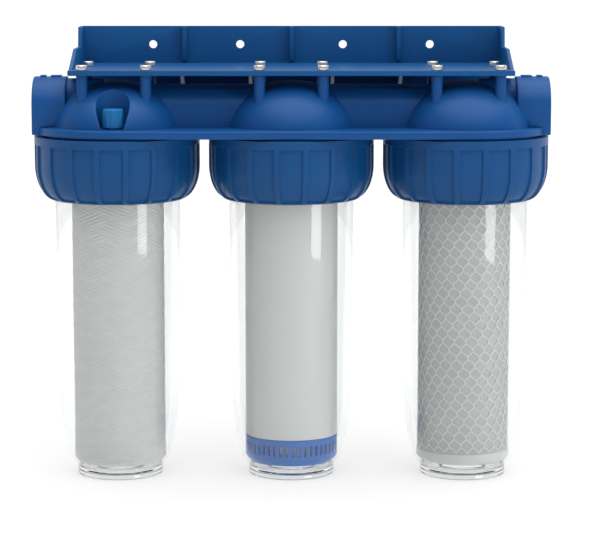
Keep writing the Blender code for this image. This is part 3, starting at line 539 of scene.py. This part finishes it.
# %% Cut and join the head
MOUTH = PORT_END - PORT_DEPTH
hub_bores = gathered(*[rod((x, STAGE_Y, 249 * MM), (x, STAGE_Y, PASSAGE_Z + 3 * MM), PASSAGE, phase=0.02)
                       for x in STAGE_X])
runs = [(-MOUTH - MM, STAGE_X[0] - 30 * MM), (STAGE_X[0], STAGE_X[1] - 30 * MM),
        (STAGE_X[1], STAGE_X[2] - 30 * MM), (STAGE_X[2], MOUTH + MM)]
channels = gathered(*[rod((a, STAGE_Y, PASSAGE_Z), (b, STAGE_Y, PASSAGE_Z), PASSAGE, 40, 0.037)
                      for a, b in runs])
socket = mm((0, -1), (14.4, -1), (14.4, 0), (12.6, 1.8), (12.6, 16.5), (0, 16.5))
mouths = []
for side in (-1, 1):
    mouth = turned(socket, steps=64, closed=False)
    rotate(mouth, -side * TURN / 4, "Y")
    move(mouth, (side * PORT_END, STAGE_Y, PORT_CENTRE))
    mouths.append(mouth)
pilots = gathered(*[rod((x, y, 285 * MM), (x, y, 300 * MM), 2.2 * MM, 12) for x, y in POSTS])
head_shape = worked(
    flange(), *[("UNION", body) for body in stage_bodies], ("UNION", crossover), ("UNION", necks[0]),
    ("UNION", necks[1]), ("UNION", ports[0]), ("UNION", ports[1]), ("UNION", posts),
    ("UNION", gathered(*flow_bars, *front_pads)),
    ("DIFFERENCE", cavities), ("UNION", hubs), ("UNION", links), ("UNION", vent_boss),
    ("DIFFERENCE", vent_pocket), ("UNION", vent_pipe), ("DIFFERENCE", vent_bore), ("DIFFERENCE", hub_bores),
    ("DIFFERENCE", channels), ("DIFFERENCE", gathered(*mouths)), ("DIFFERENCE", pilots))
rim = [edge for edge in head_shape.edges
       if all(abs((v.co.xy - Vector(vent_axis)).length - POCKET_RADIUS) < 0.02 * MM
              and abs((v.co.xy - Vector((STAGE_X[0], STAGE_Y))).length - dome_radius(v.co.z)) < 0.3 * MM
              for v in edge.verts)]
bevel(head_shape, rim, 0.5 * MM, 2)
count(piece("head_moulding", head_shape, HEAD_BLUE, "head", "head_blue", "head_manifold"))
print(f"{len(rim)} rim edges of the vent pocket rounded")

# %% [markdown]
# ## Threads of the head
# A lock ring travels 18 mm on a thread of 6 mm pitch, so three turns of ridge are enough. The ridge stands
# 0.8 mm from the skirt and stays half a millimetre short of the ring's own ridge, as moulded threads do.

# %% Add the threads
THREAD_PITCH = 6 * MM
for stage, x in enumerate(STAGE_X, 1):
    skirt_thread = thread(SKIRT_RADIUS - 0.2 * MM, SKIRT_RADIUS + 0.8 * MM, 234.5 * MM, THREAD_PITCH, 3,
                          (x, STAGE_Y))
    piece(f"skirt_thread_{stage}", skirt_thread, HEAD_BLUE, "head", "head_blue")
for side, name in ((-1, "inlet"), (1, "outlet")):
    ridge = thread(PORT_BORE + 0.2 * MM, PORT_BORE - 0.7 * MM, 3.4 * MM, 1.81 * MM, 6, (0, 0))
    rotate(ridge, -side * TURN / 4, "Y")
    move(ridge, (side * PORT_END, STAGE_Y, PORT_CENTRE))
    count(piece(f"{name}_thread", ridge, HEAD_BLUE, "head", "head_blue"))

# %% [markdown]
# ## Lock rings
# A hand turns the ring, so its outside is all grip: narrow ribs every 20 degrees with sunk panels between
# them, under a plain band. The ring is spun in 2-degree steps, which puts every rib edge on a mesh line.
# Insetting each panel and pushing it in by a millimetre and a half makes the ribs in one step, and a small
# bevel modifier rounds every edge of them.

# %% Make the lock rings
RIB_PITCH = math.radians(20)
RIB_HALF = math.radians(2)
PANEL_DEPTH = 1.5 * MM
PANEL_BOTTOM, PANEL_TOP, PANEL_INNER_RADIUS = 208.6 * MM, 248.5 * MM, 50.6 * MM
RING_STEPS = 180
ring_section = (mm((61.1, 254.7), (61.1, 248.5), (61.1, 241))
                + arc(47.5 * MM, 233 * MM, 13.6 * MM, 25.1 * MM, 0, -75, 14)
                + mm((49.4, 207.9), (47.4, 207.9), (47.4, 224.7), (55.7, 224.7), (55.7, 254.7)))


def in_panel(face, axis):
    """Whether a face of the ring lies in one of its sunk panels."""
    centre = face.calc_center_median() - Vector((*axis, 0.0))
    angle = math.atan2(centre.x, -centre.y)
    from_rib = abs((angle % RIB_PITCH) - RIB_PITCH / 2)
    outward = face.normal.x * centre.x + face.normal.y * centre.y > 0.1 * math.hypot(centre.x, centre.y)
    on_side = PANEL_BOTTOM < centre.z < PANEL_TOP and centre.xy.length > PANEL_INNER_RADIUS
    return outward and from_rib > RIB_HALF and on_side


for stage, x in enumerate(STAGE_X, 1):
    ring = turned(ring_section, (x, STAGE_Y), RING_STEPS)
    panels = [face for face in ring.faces if in_panel(face, (x, STAGE_Y))]
    bmesh.ops.inset_region(ring, faces=panels, thickness=0.3 * MM, depth=-PANEL_DEPTH, use_boundary=True,
                           use_even_offset=True)
    made = piece(f"grip_ring_{stage}", ring, RING_BLUE, f"ring_{stage}", "ring_blue", f"lock_ring_{stage}")
    rounding = made.modifiers.new("edge_rounding", "BEVEL")
    rounding.width, rounding.segments, rounding.limit_method = 0.28 * MM, 2, "ANGLE"
    rounding.angle_limit = math.radians(35)
    ridge = thread(55.9 * MM, 54.9 * MM, 231.5 * MM, THREAD_PITCH, 3, (x, STAGE_Y))
    piece(f"ring_thread_{stage}", ridge, RING_BLUE, f"ring_{stage}", "ring_blue")
    count(made)

# %% [markdown]
# ## Clear bowls
# The bowls are moulded in styrene-acrylonitrile, a hard clear plastic. Its look comes from bending light,
# not from colour: an IOR of 1.5 darkens the rims and the foot. The wall has to be a real wall with two
# sides, so the section follows the inside and the outside. A faint waviness from the mould, about 25 mm
# long, keeps the reflections from looking like cut glass.

# %% Clear plastic
CLEAR_PLASTIC, place = new_finish("moulded_clear_san", Base_Color=colour("fbfdfd"), IOR=1.5,
                                  Transmission_Weight=1.0)
haze = noise(CLEAR_PLASTIC, place, 18 * MM, 2.0)
feed_roughness(CLEAR_PLASTIC, haze.outputs["Fac"], 0.0, 0.05)
waves = noise(CLEAR_PLASTIC, place, 25 * MM, 0.0)
feed_bump(CLEAR_PLASTIC, waves.outputs["Fac"], 0.1, 0.1 * MM)
print("clear plastic, IOR 1.5")

# %% Make the bowls
bowl_inside = mm((0, 20.5), (11.8, 20.5, 1.2), (11.8, 10.8, 0.8), (16.5, 10.8, 0.5), (16.5, 6.2, 1),
                 (28.5, 6.2, 1.5),
                 (32.2, 9.6, 2), (35.4, 14, 4), (38.2, 32, 6), (39.8, 50, 6), (42.2, 225, 2),
                 (42.2, 245.5, 0.6))
bowl_outside = mm((47.6, 245.5, 0.9), (47.6, 240.6, 0.3), (44.6, 240.6, 0.3), (44.6, 236.4, 0.3),
                  (47.6, 236.4, 0.3),
                  (47.6, 230.7, 0.5), (54, 230.7, 0.5), (54, 225, 0.5), (46.7, 225, 1), (43.6, 50, 6),
                  (41.6, 31, 5),
                  (38.6, 17, 3.5), (36.4, 11.4, 2), (31.9, 6.8, 1.2), (31.9, 0, 1), (28.3, 0, 1),
                  (28.3, 3.4, 0.8), (0, 3.4))
for stage, x in enumerate(STAGE_X, 1):
    bowl = turned(bowl_inside + bowl_outside, (x, STAGE_Y), closed=False)
    count(piece(f"clear_bowl_{stage}", bowl, CLEAR_PLASTIC, f"bowl_{stage}", "clear_bowl", f"bowl_{stage}"))

# %% [markdown]
# ## Seals
# Each bowl's collar carries a nitrile O-ring, and a small one seals the vent. Moulded nitrile is matt black
# with a faint bloom, so its roughness is high and slightly patchy. A round section spun round the axis is a
# torus with exactly the frame's cord.

# %% Black nitrile and the O-rings
NITRILE, place = new_finish("moulded_black_nitrile", IOR=1.52)
bloom = noise(NITRILE, place, 3 * MM, 4.0)
feed_colour(NITRILE, bloom.outputs["Fac"], "18181a", "2a2a2c")
feed_roughness(NITRILE, bloom.outputs["Fac"], 0.45, 0.65)


def o_ring(name, at, height, radius, cord, body, node):
    """A ring of round cord."""
    section = arc(radius, height, cord, cord, 0, 360 - 360 / 12, 11)
    return piece(name, turned(section, at, 64), NITRILE, body, "seal_black", node)


for stage, x in enumerate(STAGE_X, 1):
    o_ring(f"collar_o_ring_{stage}", (x, STAGE_Y), 238.5 * MM, 46.4 * MM, 1.7 * MM, f"bowl_{stage}",
           f"bowl_o_ring_{stage}")
count(o_ring("vent_seat_o_ring", vent_axis, 270.1 * MM, 3.95 * MM, 1.1 * MM, "vent_seal", "vent_o_ring"))

# %% [markdown]
# ## Vent knob
# The knob is a hollow nylon cap that screws on the vent pipe. Twelve shallow flutes give fingers a hold. The
# cap is turned first, and then its side is drawn in between the flutes by moving the spun points nearer the
# axis, which a repeated cut would only do with far more edges. A small dimple marks its front.

# %% Make the vent knob
FLUTES = 12
knob_section = mm((0, 276.9), (7.6, 276.9, 1.6), (7.7, 272), (7.8, 267), (7.9, 263.2, 0.3),
                  (5.5, 263.2, 0.2), (5.5, 271.6),
                  (2.3, 271.6), (2.3, 260.4, 0.3), (0, 259.4))
knob = turned(knob_section, steps=SMOOTH_TURN, closed=False)
for vert in knob.verts:
    if vert.co.xy.length > 6.2 * MM:
        hollow = (0.5 - 0.5 * math.cos(FLUTES * math.atan2(vert.co.x, vert.co.y))) ** 2
        vert.co.xy *= 1 - 0.055 * hollow
move(knob, (*vent_axis, 0))
dimple = rod((vent_axis[0], vent_axis[1] - 5.4 * MM, 276.2 * MM),
             (vent_axis[0], vent_axis[1] - 5.4 * MM, 278 * MM), 0.8 * MM, 16)
knob = worked(knob, ("DIFFERENCE", dimple))
count(piece("fluted_vent_knob", knob, KNOB_BLUE, "vent_screw", "knob_blue", "vent_knob"))

# %% [markdown]
# ## Wall bracket
# The bracket is also one moulding: a back plate with four wall holes, a shelf over the head, ribs and end
# cheeks that stiffen the corner between them, and gussets under the shelf. Plates are blocks with rounded
# edges. The cheeks and gussets are flat outlines, drawn corner by corner and thickened.

# %% Sizes and plates of the bracket
WALL = bracket_high.y
PLATE_FRONT = WALL - 4 * MM
SHELF_BOTTOM, SHELF_TOP = 300 * MM, 303.9 * MM
HALF_BRACKET = bracket_high.x


def upright_plate(x, thickness, outline, edge=0.35 * MM):
    """A plate standing across the housing, from its outline in Y and Z."""
    shape = bmesh.new()
    face = shape.faces.new([shape.verts.new((x - thickness / 2, y, z)) for y, z in outline])
    far = bmesh.ops.extrude_face_region(shape, geom=[face])["geom"]
    bmesh.ops.translate(shape, vec=(thickness, 0, 0), verts=points(far))
    bmesh.ops.recalc_face_normals(shape, faces=shape.faces)
    bevel(shape, shape.edges[:], edge, 2)
    return shape


CHEEK = 2.7 * MM
cheek_outline = [(PLATE_FRONT + MM, bracket_high.z - 0.1 * MM),
                 (STAGE_Y + 55.1 * MM, bracket_high.z - 0.1 * MM),
                 (STAGE_Y + 52 * MM, 317.4 * MM), (STAGE_Y + 13.9 * MM, 317.4 * MM),
                 (STAGE_Y - 26.4 * MM, SHELF_TOP - 0.6 * MM),
                 (PLATE_FRONT + MM, SHELF_TOP - 0.6 * MM)]
cheeks = [upright_plate(side * (HALF_BRACKET - CHEEK / 2 - 0.1 * MM), CHEEK, cheek_outline)
          for side in (-1, 1)]
gusset_outline = [(PLATE_FRONT + MM, SHELF_BOTTOM + MM), (STAGE_Y + 35 * MM, SHELF_BOTTOM + MM),
                  (STAGE_Y + 60 * MM, bracket_low.z - 0.7 * MM), (PLATE_FRONT + MM, bracket_low.z - 0.7 * MM)]
gussets = gathered(*[upright_plate(x * MM, 2.5 * MM, gusset_outline) for x in (-83.0, -31.2, 31.2, 83.0)])
ribs = gathered(*[block(((x - 1.7) * MM, PLATE_FRONT - 6 * MM, SHELF_TOP + 2 * MM),
                        ((x + 1.7) * MM, PLATE_FRONT + MM, bracket_high.z - 0.2 * MM), 0.5 * MM)
                        for x in (-82.1, 0.0, 82.1)])
print(f"bracket {2 * HALF_BRACKET / MM:.1f} mm wide, wall plane at y {WALL / MM:.1f} mm")

# %% Join the bracket
back_plate = block((-HALF_BRACKET, PLATE_FRONT, bracket_low.z - 1 * MM),
                   (HALF_BRACKET, WALL, bracket_high.z), 0.5 * MM)
shelf = block((-HALF_BRACKET, bracket_low.y, SHELF_BOTTOM),
              (HALF_BRACKET, PLATE_FRONT + 1.2 * MM, SHELF_TOP), 0.6 * MM)
wall_holes = gathered(*[rod((x * MM, PLATE_FRONT - MM, 318 * MM), (x * MM, WALL + MM, 318 * MM), 3.1 * MM, 40)
                        for x in (-106.4, -39.5, 39.5, 106.4)])
shelf_holes = gathered(*[rod((x, y, SHELF_BOTTOM - MM), (x, y, SHELF_TOP + MM), 2.4 * MM, 20)
                         for x, y in POSTS])
bracket = worked(back_plate, ("UNION", shelf), ("UNION", cheeks[0]), ("UNION", cheeks[1]), ("UNION", gussets),
                 ("UNION", ribs), ("DIFFERENCE", wall_holes), ("DIFFERENCE", shelf_holes))
count(piece("bracket_moulding", bracket, BRACKET_BLUE_PAINTED_LIGHT, "head", "bracket_blue", "wall_bracket"))

# %% [markdown]
# ## Screws
# Twelve cheese-head screws hold the shelf to the posts. They are zinc-plated steel: a bright metal with a
# slightly milky, grainy film, so its roughness varies over a millimetre or so. The head is turned with
# nearly straight sides, and a cross recess is cut by two crossed blocks.

# %% Zinc-plated steel and the screws
ZINC, place = new_finish("zinc_plated_steel", Metallic=1.0)
film = noise(ZINC, place, 1.2 * MM, 3.0)
feed_colour(ZINC, film.outputs["Fac"], "dcdad6", "f4f2ee")
feed_roughness(ZINC, film.outputs["Fac"], 0.22, 0.42)
screw_section = mm((0, 307.6), (4.1, 307.6, 0.8), (4.3, 304.2, 0.2), (1.8, 304.2),
                   (1.8, 288.6), (0, 287.2))
for number, (x, y) in enumerate(POSTS, 1):
    screw = turned(screw_section, steps=32, closed=False)
    arms = [block((-a * MM, -b * MM, 306.2 * MM), (a * MM, b * MM, 309 * MM), 0)
            for a, b in ((1.9, 0.4), (0.4, 1.9))]
    screw = worked(screw, ("DIFFERENCE", arms[0]), ("DIFFERENCE", arms[1]))
    rotate(screw, number * 1.1)
    move(screw, (x, y, 0))
    made = piece(f"cheese_screw_{number}", screw, ZINC, "head", "screw_steel", f"bracket_screw_{number}")
count(made)

# %% [markdown]
# ## White plastics and felt
# The cartridges are nearly all white, so their finishes differ in surface: extruded tube with faint lines
# along it, satin moulded caps, matt felt, and netting with a slight shine. One function makes them all.


# %% White finishes
def white_finish(name, deep, pale, size, stretch, roughness, depth, ior=1.49):
    """A white plastic or fibre whose pattern has a size, and is stretched along Z by a factor."""
    finish, place = new_finish(name, IOR=ior, Roughness=roughness)
    along = add_node(finish, "ShaderNodeMapping", {"Vector": place, "Scale": (1.0, 1.0, 1 / stretch)})
    pattern = add_node(finish, "ShaderNodeTexNoise",
                       {"Vector": along.outputs["Vector"], "Scale": 1 / size, "Detail": 4.0})
    feed_colour(finish, pattern.outputs["Fac"], deep, pale)
    feed_bump(finish, pattern.outputs["Fac"], 0.5, depth)
    return finish


YARN = white_finish("wound_polypropylene_yarn", "ecebe9", "f8f7f5", 1.1 * MM, 0.6, 0.9, 0.25 * MM)
TUBE_WHITE = white_finish("extruded_polypropylene_tube", "f2f1f0", "f6f5f4", 2.4 * MM, 60.0, 0.38, 0.03 * MM)
CAP_WHITE = white_finish("moulded_white_end_cap", "f0f0ee", "f6f6f4", 6 * MM, 1.0, 0.4, 0.02 * MM)
CORE_WHITE = white_finish("moulded_core_white", "e8e8e6", "f0f0ee", 5 * MM, 1.0, 0.45, 0.02 * MM)
FOAM_WHITE = white_finish("foamed_gasket_white", "e6e6e2", "f2f2ee", 0.8 * MM, 1.0, 0.85, 0.15 * MM)
PAD_FELT = white_finish("pressed_white_felt", "e2e1dd", "f0efec", 1.0 * MM, 0.5, 0.95, 0.3 * MM)
NET_WHITE = white_finish("extruded_polyethylene_net", "f2f2f1", "fafaf9", 2 * MM, 1.0, 0.35, 0.03 * MM, 1.51)
print("white finishes:", [m.name for m in (YARN, TUBE_WHITE, CAP_WHITE, PAD_FELT, NET_WHITE)])

# %% [markdown]
# ## Stage 1: the wound cartridge
# Yarn is wound on a perforated core back and forth at a slant, so two sets of strands cross in a diamond
# pattern. Each strand is a small rounded section spun while it climbs, as the winding machine does, thirty
# each way. Their points are then lifted or sunk a quarter of a millimetre by a product of two sines, one for
# each slant, which takes the strands over and under each other.

# %% Wind the yarn
STRANDS = 30
WINDS = 3
BANDS = 3
WIND_STEPS = 40
WEAVE = 0.26 * MM
BEAD = 3.4 * MM
wind_low, wind_high = yarn_low.z + BEAD, yarn_high.z - BEAD
lead = (wind_high - wind_low) / WINDS
strand_centre = CARTRIDGE_RADIUS - 0.72 * MM
strand_section = ((-0.55, -1.25), (-0.55, 1.25), (0.0, 1.3), (0.36, 0.75), (0.44, 0.0), (0.36, -0.75),
                  (0.0, -1.3))


def wound_strands(direction):
    """All the strands that slant one way, evenly spaced round the cartridge."""
    strand = bmesh.new()
    loop = [strand.verts.new((strand_centre + r * MM, 0.0, wind_low + z * MM)) for r, z in strand_section]
    strand.faces.new(loop)
    spin(strand, WIND_STEPS * WINDS, direction * TURN * WINDS, lead / WIND_STEPS, False)
    bmesh.ops.recalc_face_normals(strand, faces=strand.faces)
    first = strand.verts[:] + strand.edges[:] + strand.faces[:]
    for number in range(1, STRANDS):
        copy = bmesh.ops.duplicate(strand, geom=first)["geom"]
        bmesh.ops.rotate(strand, cent=(0, 0, 0), matrix=Matrix.Rotation(TURN * number / STRANDS, 3, "Z"),
                         verts=points(copy))
    for vert in strand.verts:
        turn = BANDS * math.atan2(vert.co.y, vert.co.x)
        climb = TURN * BANDS * (vert.co.z - wind_low) / lead
        over = math.sin(climb - turn) * math.sin(climb + turn)
        vert.co.xy *= 1 + direction * WEAVE * max(-1.0, min(1.0, 2.5 * over)) / strand_centre
    return strand


under = mm((34.3 - 2.6, 259.1, 1.2), (34.3 - 0.3, 257.6, 1.4), (34.3 - 0.3, 255.4, 1.2), (33.2, 254.6),
           (33.2, 15.6),
           (34.3 - 0.3, 14.8, 1.2), (34.3 - 0.3, 12.6, 1.4), (34.3 - 2.6, 11.1, 1.2), (14.9, 11.1),
           (14.9, 259.1))
winding = gathered(turned(under), wound_strands(1), wound_strands(-1))
move(winding, (STAGE_X[0], STAGE_Y, 0))
count(piece("yarn_winding", winding, YARN, "cartridge_1", "yarn_white", "wound_yarn"))
print(f"lead {lead / MM:.1f} mm, {STRANDS} strands each way")

# %% [markdown]
# The core is a moulded tube with rows of square windows for the water. A spun sheet of faces is inset face by
# face, the middles are deleted, and the remaining grid gets its wall.

# %% Make the core
CORE_RADIUS = 14.6 * MM
core = bmesh.new()
corners = [core.verts.new((CORE_RADIUS, 0.0, yarn_low.z + (yarn_high.z - yarn_low.z) * i / 32))
           for i in range(33)]
for pair in zip(corners, corners[1:]):
    core.edges.new(pair)
spin(core, 16)
bmesh.ops.recalc_face_normals(core, faces=core.faces)
PLAIN_END = 8 * MM
windows = [face for face in core.faces
           if yarn_low.z + PLAIN_END < face.calc_center_median().z < yarn_high.z - PLAIN_END]
bmesh.ops.inset_individual(core, faces=windows, thickness=1.3 * MM, use_even_offset=True)
bmesh.ops.delete(core, geom=windows, context="FACES_ONLY")
bmesh.ops.solidify(core, geom=core.faces[:], thickness=1.4 * MM)
move(core, (STAGE_X[0], STAGE_Y, 0))
count(piece("perforated_core", core, CORE_WHITE, "cartridge_1", "core_white", "wound_core"))

# %% [markdown]
# ## Stage 2: the granular carbon cartridge
# Water enters through slots in the blue bottom cap, climbs through the loose carbon and leaves at the top.
# The shell is a plain extruded tube. The cap has 48 slots with round ends, cut by blocks whose edges are
# bevelled until they are capsules.

# %% Blue caps and the carbon tube
CAP_BLUE = moulded_polypropylene("moulded_polypropylene_cap_blue", "3478d2", "3c82da", (0.32, 0.42))
middle = (STAGE_X[1], STAGE_Y)
SLOTS = 48
SLOT_WIDTH, SLOT_BOTTOM, SLOT_TOP = 2.1 * MM, 18.6 * MM, 26.4 * MM
cap_section = mm((0, 24.8), (15, 24.8, 0.5), (15, 13.5), (31.0, 13.5, 1), (31.4, 29.4), (29.8, 30.8),
                 (29.8, 35.1, 0.4), (31.8, 35.1, 0.4),
                 (31.8, 30.8), (34.3, 30.8, 0.4), (34.3, 28.6, 0.2), (34.05, 28.3, 0.2), (34.05, 16.2, 1),
                 (33.2, 13.0, 1.2),
                 (31.0, 11.1, 0.8), (12.6, 11.1, 0.5), (12.6, 22.6), (0, 22.6))
cap = turned(cap_section, closed=False, steps=192)
slots = []
for number in range(SLOTS):
    slot = block((29 * MM, -SLOT_WIDTH / 2, SLOT_BOTTOM), (37 * MM, SLOT_WIDTH / 2, SLOT_TOP), 0)
    along = [e for e in slot.edges if abs(e.verts[0].co.x - e.verts[1].co.x) > MM]
    bevel(slot, along, SLOT_WIDTH * 0.45, 4)
    rotate(slot, TURN * (number + 0.25) / SLOTS)
    slots.append(slot)
cap = worked(cap, ("DIFFERENCE", gathered(*slots)))
move(cap, (*middle, 0))
count(piece("slotted_bottom_cap", cap, CAP_BLUE, "cartridge_2", "cap_blue", "carbon_tube_bottom_cap"))
shell = turned(mm((34.3, 245.1, 0.4), (34.3, 31.1, 0.4), (32.1, 31.1, 0.2), (32.1, 245.1, 0.2)), middle)
piece("extruded_shell", shell, TUBE_WHITE, "cartridge_2", "shell_white", "carbon_tube_shell")
top_cap = turned(mm((33.3, 256.1), (34.3, 255.1), (34.3, 245.4), (31.8, 245.4), (31.8, 241.1), (29.8, 241.1),
                    (29.8, 253.1),
                    (13.6, 253.1), (13.6, 256.1)), middle)
piece("moulded_top_cap", top_cap, CAP_BLUE, "cartridge_2", "cap_blue", "carbon_tube_top_cap")
washer = turned(mm((25, 256.4, 0.5), (25, 259.1, 0.5), (13.6, 259.1, 0.5), (13.6, 256.4, 0.5)), middle)
piece("nose_gasket", washer, NITRILE, "cartridge_2", "seal_black", "carbon_tube_gasket")

# %% [markdown]
# Inside the cap a strip of felt lines the slots, so that no carbon dust falls out. It is the pale stuff that
# shows through them.

# %% Line the slots with felt
lining = turned(mm((30.9, 28.8, 0.3), (30.6, 15.0, 0.3), (29.4, 15.0, 0.3), (29.7, 28.8, 0.3)), middle)
count(piece("slot_felt_lining", lining, PAD_FELT, "cartridge_2", "pad_white", "carbon_tube_slot_felt"))

# %% [markdown]
# ## Stage 3: the carbon block cartridge
# A pressed carbon tube is wrapped in grey-white felt under a net. The felt is a plain sleeve whose look is
# all in its surface: fine pressed dots about 1.8 mm apart over soft fibres.

# %% Felt sleeve, caps and gaskets
FELT, place = new_finish("spunbonded_grey_felt", Roughness=0.95, IOR=1.49, Sheen_Weight=0.25)
fibres = noise(FELT, place, 1.4 * MM, 5.0)
dots = add_node(FELT, "ShaderNodeTexVoronoi", {"Vector": place, "Scale": 1 / (1.8 * MM), "Randomness": 0.35})
pressed = add_node(FELT, "ShaderNodeMath", {0: fibres.outputs["Fac"], 1: dots.outputs["Distance"]},
                   operation="MULTIPLY")
feed_colour(FELT, pressed.outputs["Value"], "cdccce", "e9e8ea")
feed_bump(FELT, pressed.outputs["Value"], 0.7, 0.35 * MM)
right = (STAGE_X[2], STAGE_Y)
sleeve = turned(mm((33.2, 249.3, 0.2), (33.2, 20.9, 0.2), (32.2, 20.9), (32.2, 249.3)), right)
piece("felt_sleeve", sleeve, FELT, "cartridge_3", "felt_grey", "carbon_block_felt")
for name, end_z, inward in (("bottom", 11.1, 1), ("top", 259.1, -1)):
    def height(offset):
        return end_z + inward * offset
    cup = mm((34.3, height(9.5), 0.4), (34.3, height(3.0), 1.2), (32.1, height(0.8), 0.8),
             (26.6, height(0.8)),
             (26.6, height(3.3)), (13.2, height(3.3)), (13.2, height(5.8)), (32.2, height(5.8)),
             (32.2, height(9.5)))
    piece(f"glued_{name}_cap", turned(cup, right), CAP_WHITE, "cartridge_3", "cap_white",
          f"carbon_block_{name}_cap")
    foam = turned(mm((26, height(3), 0.3), (26, height(0), 0.6), (13.2, height(0), 0.6),
                     (13.2, height(3), 0.3)), right)
    piece(f"foam_{name}_gasket", foam, FOAM_WHITE, "cartridge_3", "gasket_white",
          f"carbon_block_{name}_gasket")
print("felt sleeve, two caps and two gaskets")

# %% [markdown]
# The net is extruded polyethylene with six-sided cells, 8.4 mm wide and in rows 6 mm apart. The crossings
# are short and upright, so the cells look almost like diamonds. It is laid out flat as a tiling, each cell
# is inset and its middle deleted, and the flat net is rolled round the felt with the slight slant of a
# sleeve that was pulled on. Rolling is one formula on the points: the way along becomes an angle.

# %% Roll the net
NET_RADIUS = 33.55 * MM
CELLS_ROUND = 25
ROW_RISE = 6.0 * MM
CROSSING = 2.2 * MM
SLANT = 0.125
STRAND = 1.05 * MM
cell_width = TURN * NET_RADIUS / CELLS_ROUND
net_low, net_high = 21.0 * MM, 249.2 * MM
rows = round((net_high - net_low) / ROW_RISE)
net = bmesh.new()
for row in range(rows + 2):
    for column in range(CELLS_ROUND):
        cell = bmesh.ops.create_circle(net, cap_ends=True, segments=6, radius=1.0)["verts"]
        for vert in cell:
            pointed = abs(vert.co.y) > 0.9
            rise = ROW_RISE - CROSSING / 2 if pointed else CROSSING / 2
            vert.co = (vert.co.x * cell_width / math.sqrt(3), math.copysign(rise, vert.co.y), 0.0)
        across = (column + 0.5 * (row % 2)) * cell_width
        bmesh.ops.translate(net, vec=(across, net_low + row * ROW_RISE, 0), verts=cell)
bmesh.ops.remove_doubles(net, verts=net.verts, dist=0.02 * MM)
for height_z, keep in ((net_low, 1), (net_high, -1)):
    bmesh.ops.bisect_plane(net, geom=net.verts[:] + net.edges[:] + net.faces[:], plane_co=(0, height_z, 0),
                           plane_no=(0, -keep, 0), clear_outer=True)
cells = net.faces[:]
bmesh.ops.inset_individual(net, faces=cells, thickness=STRAND / 2, use_even_offset=True)
bmesh.ops.delete(net, geom=cells, context="FACES_ONLY")
for vert in net.verts:
    angle = (vert.co.x - SLANT * vert.co.y) / NET_RADIUS
    vert.co = (NET_RADIUS * math.sin(angle), -NET_RADIUS * math.cos(angle), vert.co.y)
bmesh.ops.remove_doubles(net, verts=net.verts, dist=0.02 * MM)
bmesh.ops.recalc_face_normals(net, faces=net.faces)
bmesh.ops.solidify(net, geom=net.faces[:], thickness=-0.4 * MM)
move(net, (*right, 0))
count(piece("rolled_net", net, NET_WHITE, "cartridge_3", "net_white", "carbon_block_net"))
print(f"net of {CELLS_ROUND} cells round, {rows} rows, cells {cell_width / MM:.1f} mm wide")

# %% [markdown]
# ## Carbon and pads
# The carbon and the felt pads are closed in by shells and caps, so the frame's own solids stay and only get
# their finish. Granular carbon is black with small sharp grains, 1 to 2 mm across, that glint a little.

# %% Finish the inner solids
CARBON, place = new_finish("activated_carbon_grains", IOR=1.6, Roughness=0.6)
grains = add_node(CARBON, "ShaderNodeTexVoronoi", {"Vector": place, "Scale": 1 / (1.5 * MM)})
feed_colour(CARBON, grains.outputs["Distance"], "1b1b1d", "2e2e31")
feed_bump(CARBON, grains.outputs["Distance"], 0.9, 0.6 * MM)
inner = {"carbon_granules": CARBON, "carbon_block": CARBON, "carbon_tube_lower_pad": PAD_FELT,
         "carbon_tube_upper_pad": PAD_FELT}
for node, finish in inner.items():
    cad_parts[node].data.materials.clear()
    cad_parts[node].data.materials.append(finish)
print("carried over from the frame:", sorted(inner))

# %% [markdown]
# ## Floor
# The housing stands on a light table: a large pale acrylic sheet with a soft glow from below, which is what
# keeps the foot rings bright although the cartridges shade them. It is far larger than the view, so no edge
# shows, and it isn't part of the object. A faint tooth breaks its reflections. Far behind, its rim turns up
# into a backdrop, so that the clear bowls bend bright light and not the dim room.

# %% Lay the floor
TABLE, place = new_finish("glowing_acrylic_table", Roughness=0.9, Specular_IOR_Level=0.2,
                          Emission_Strength=0.68,
                          Emission_Color=(1.0, 1.0, 1.0, 1.0))
tooth = noise(TABLE, place, 4 * MM, 2.0)
feed_colour(TABLE, tooth.outputs["Fac"], "888887", "8b8b8a")
sweep = bmesh.new()
bmesh.ops.create_circle(sweep, cap_ends=True, segments=64, radius=40.0)
behind = [edge for edge in sweep.edges if edge.verts[0].co.y + edge.verts[1].co.y > 0]
raised = bmesh.ops.extrude_edge_only(sweep, edges=behind)["geom"]
bmesh.ops.translate(sweep, vec=(0, 0, 30), verts=points(raised))
sweep_mesh = bpy.data.meshes.new("floor_sweep")
sweep.to_mesh(sweep_mesh)
sweep.free()
sweep_mesh.materials.append(TABLE)
floor = bpy.data.objects.new("floor_sweep", sweep_mesh)
floor.location.z = cad_low.z - 0.05 * MM
bpy.context.scene.collection.objects.link(floor)
print(f"floor at z {floor.location.z / MM:.2f} mm")

# %% [markdown]
# ## The frame's box
# The frame's box is printed in millimetres.

# %% Print the frame's box
print("frame box mm", [round((h - l) / MM, 1) for l, h in zip(cad_low, cad_high)])
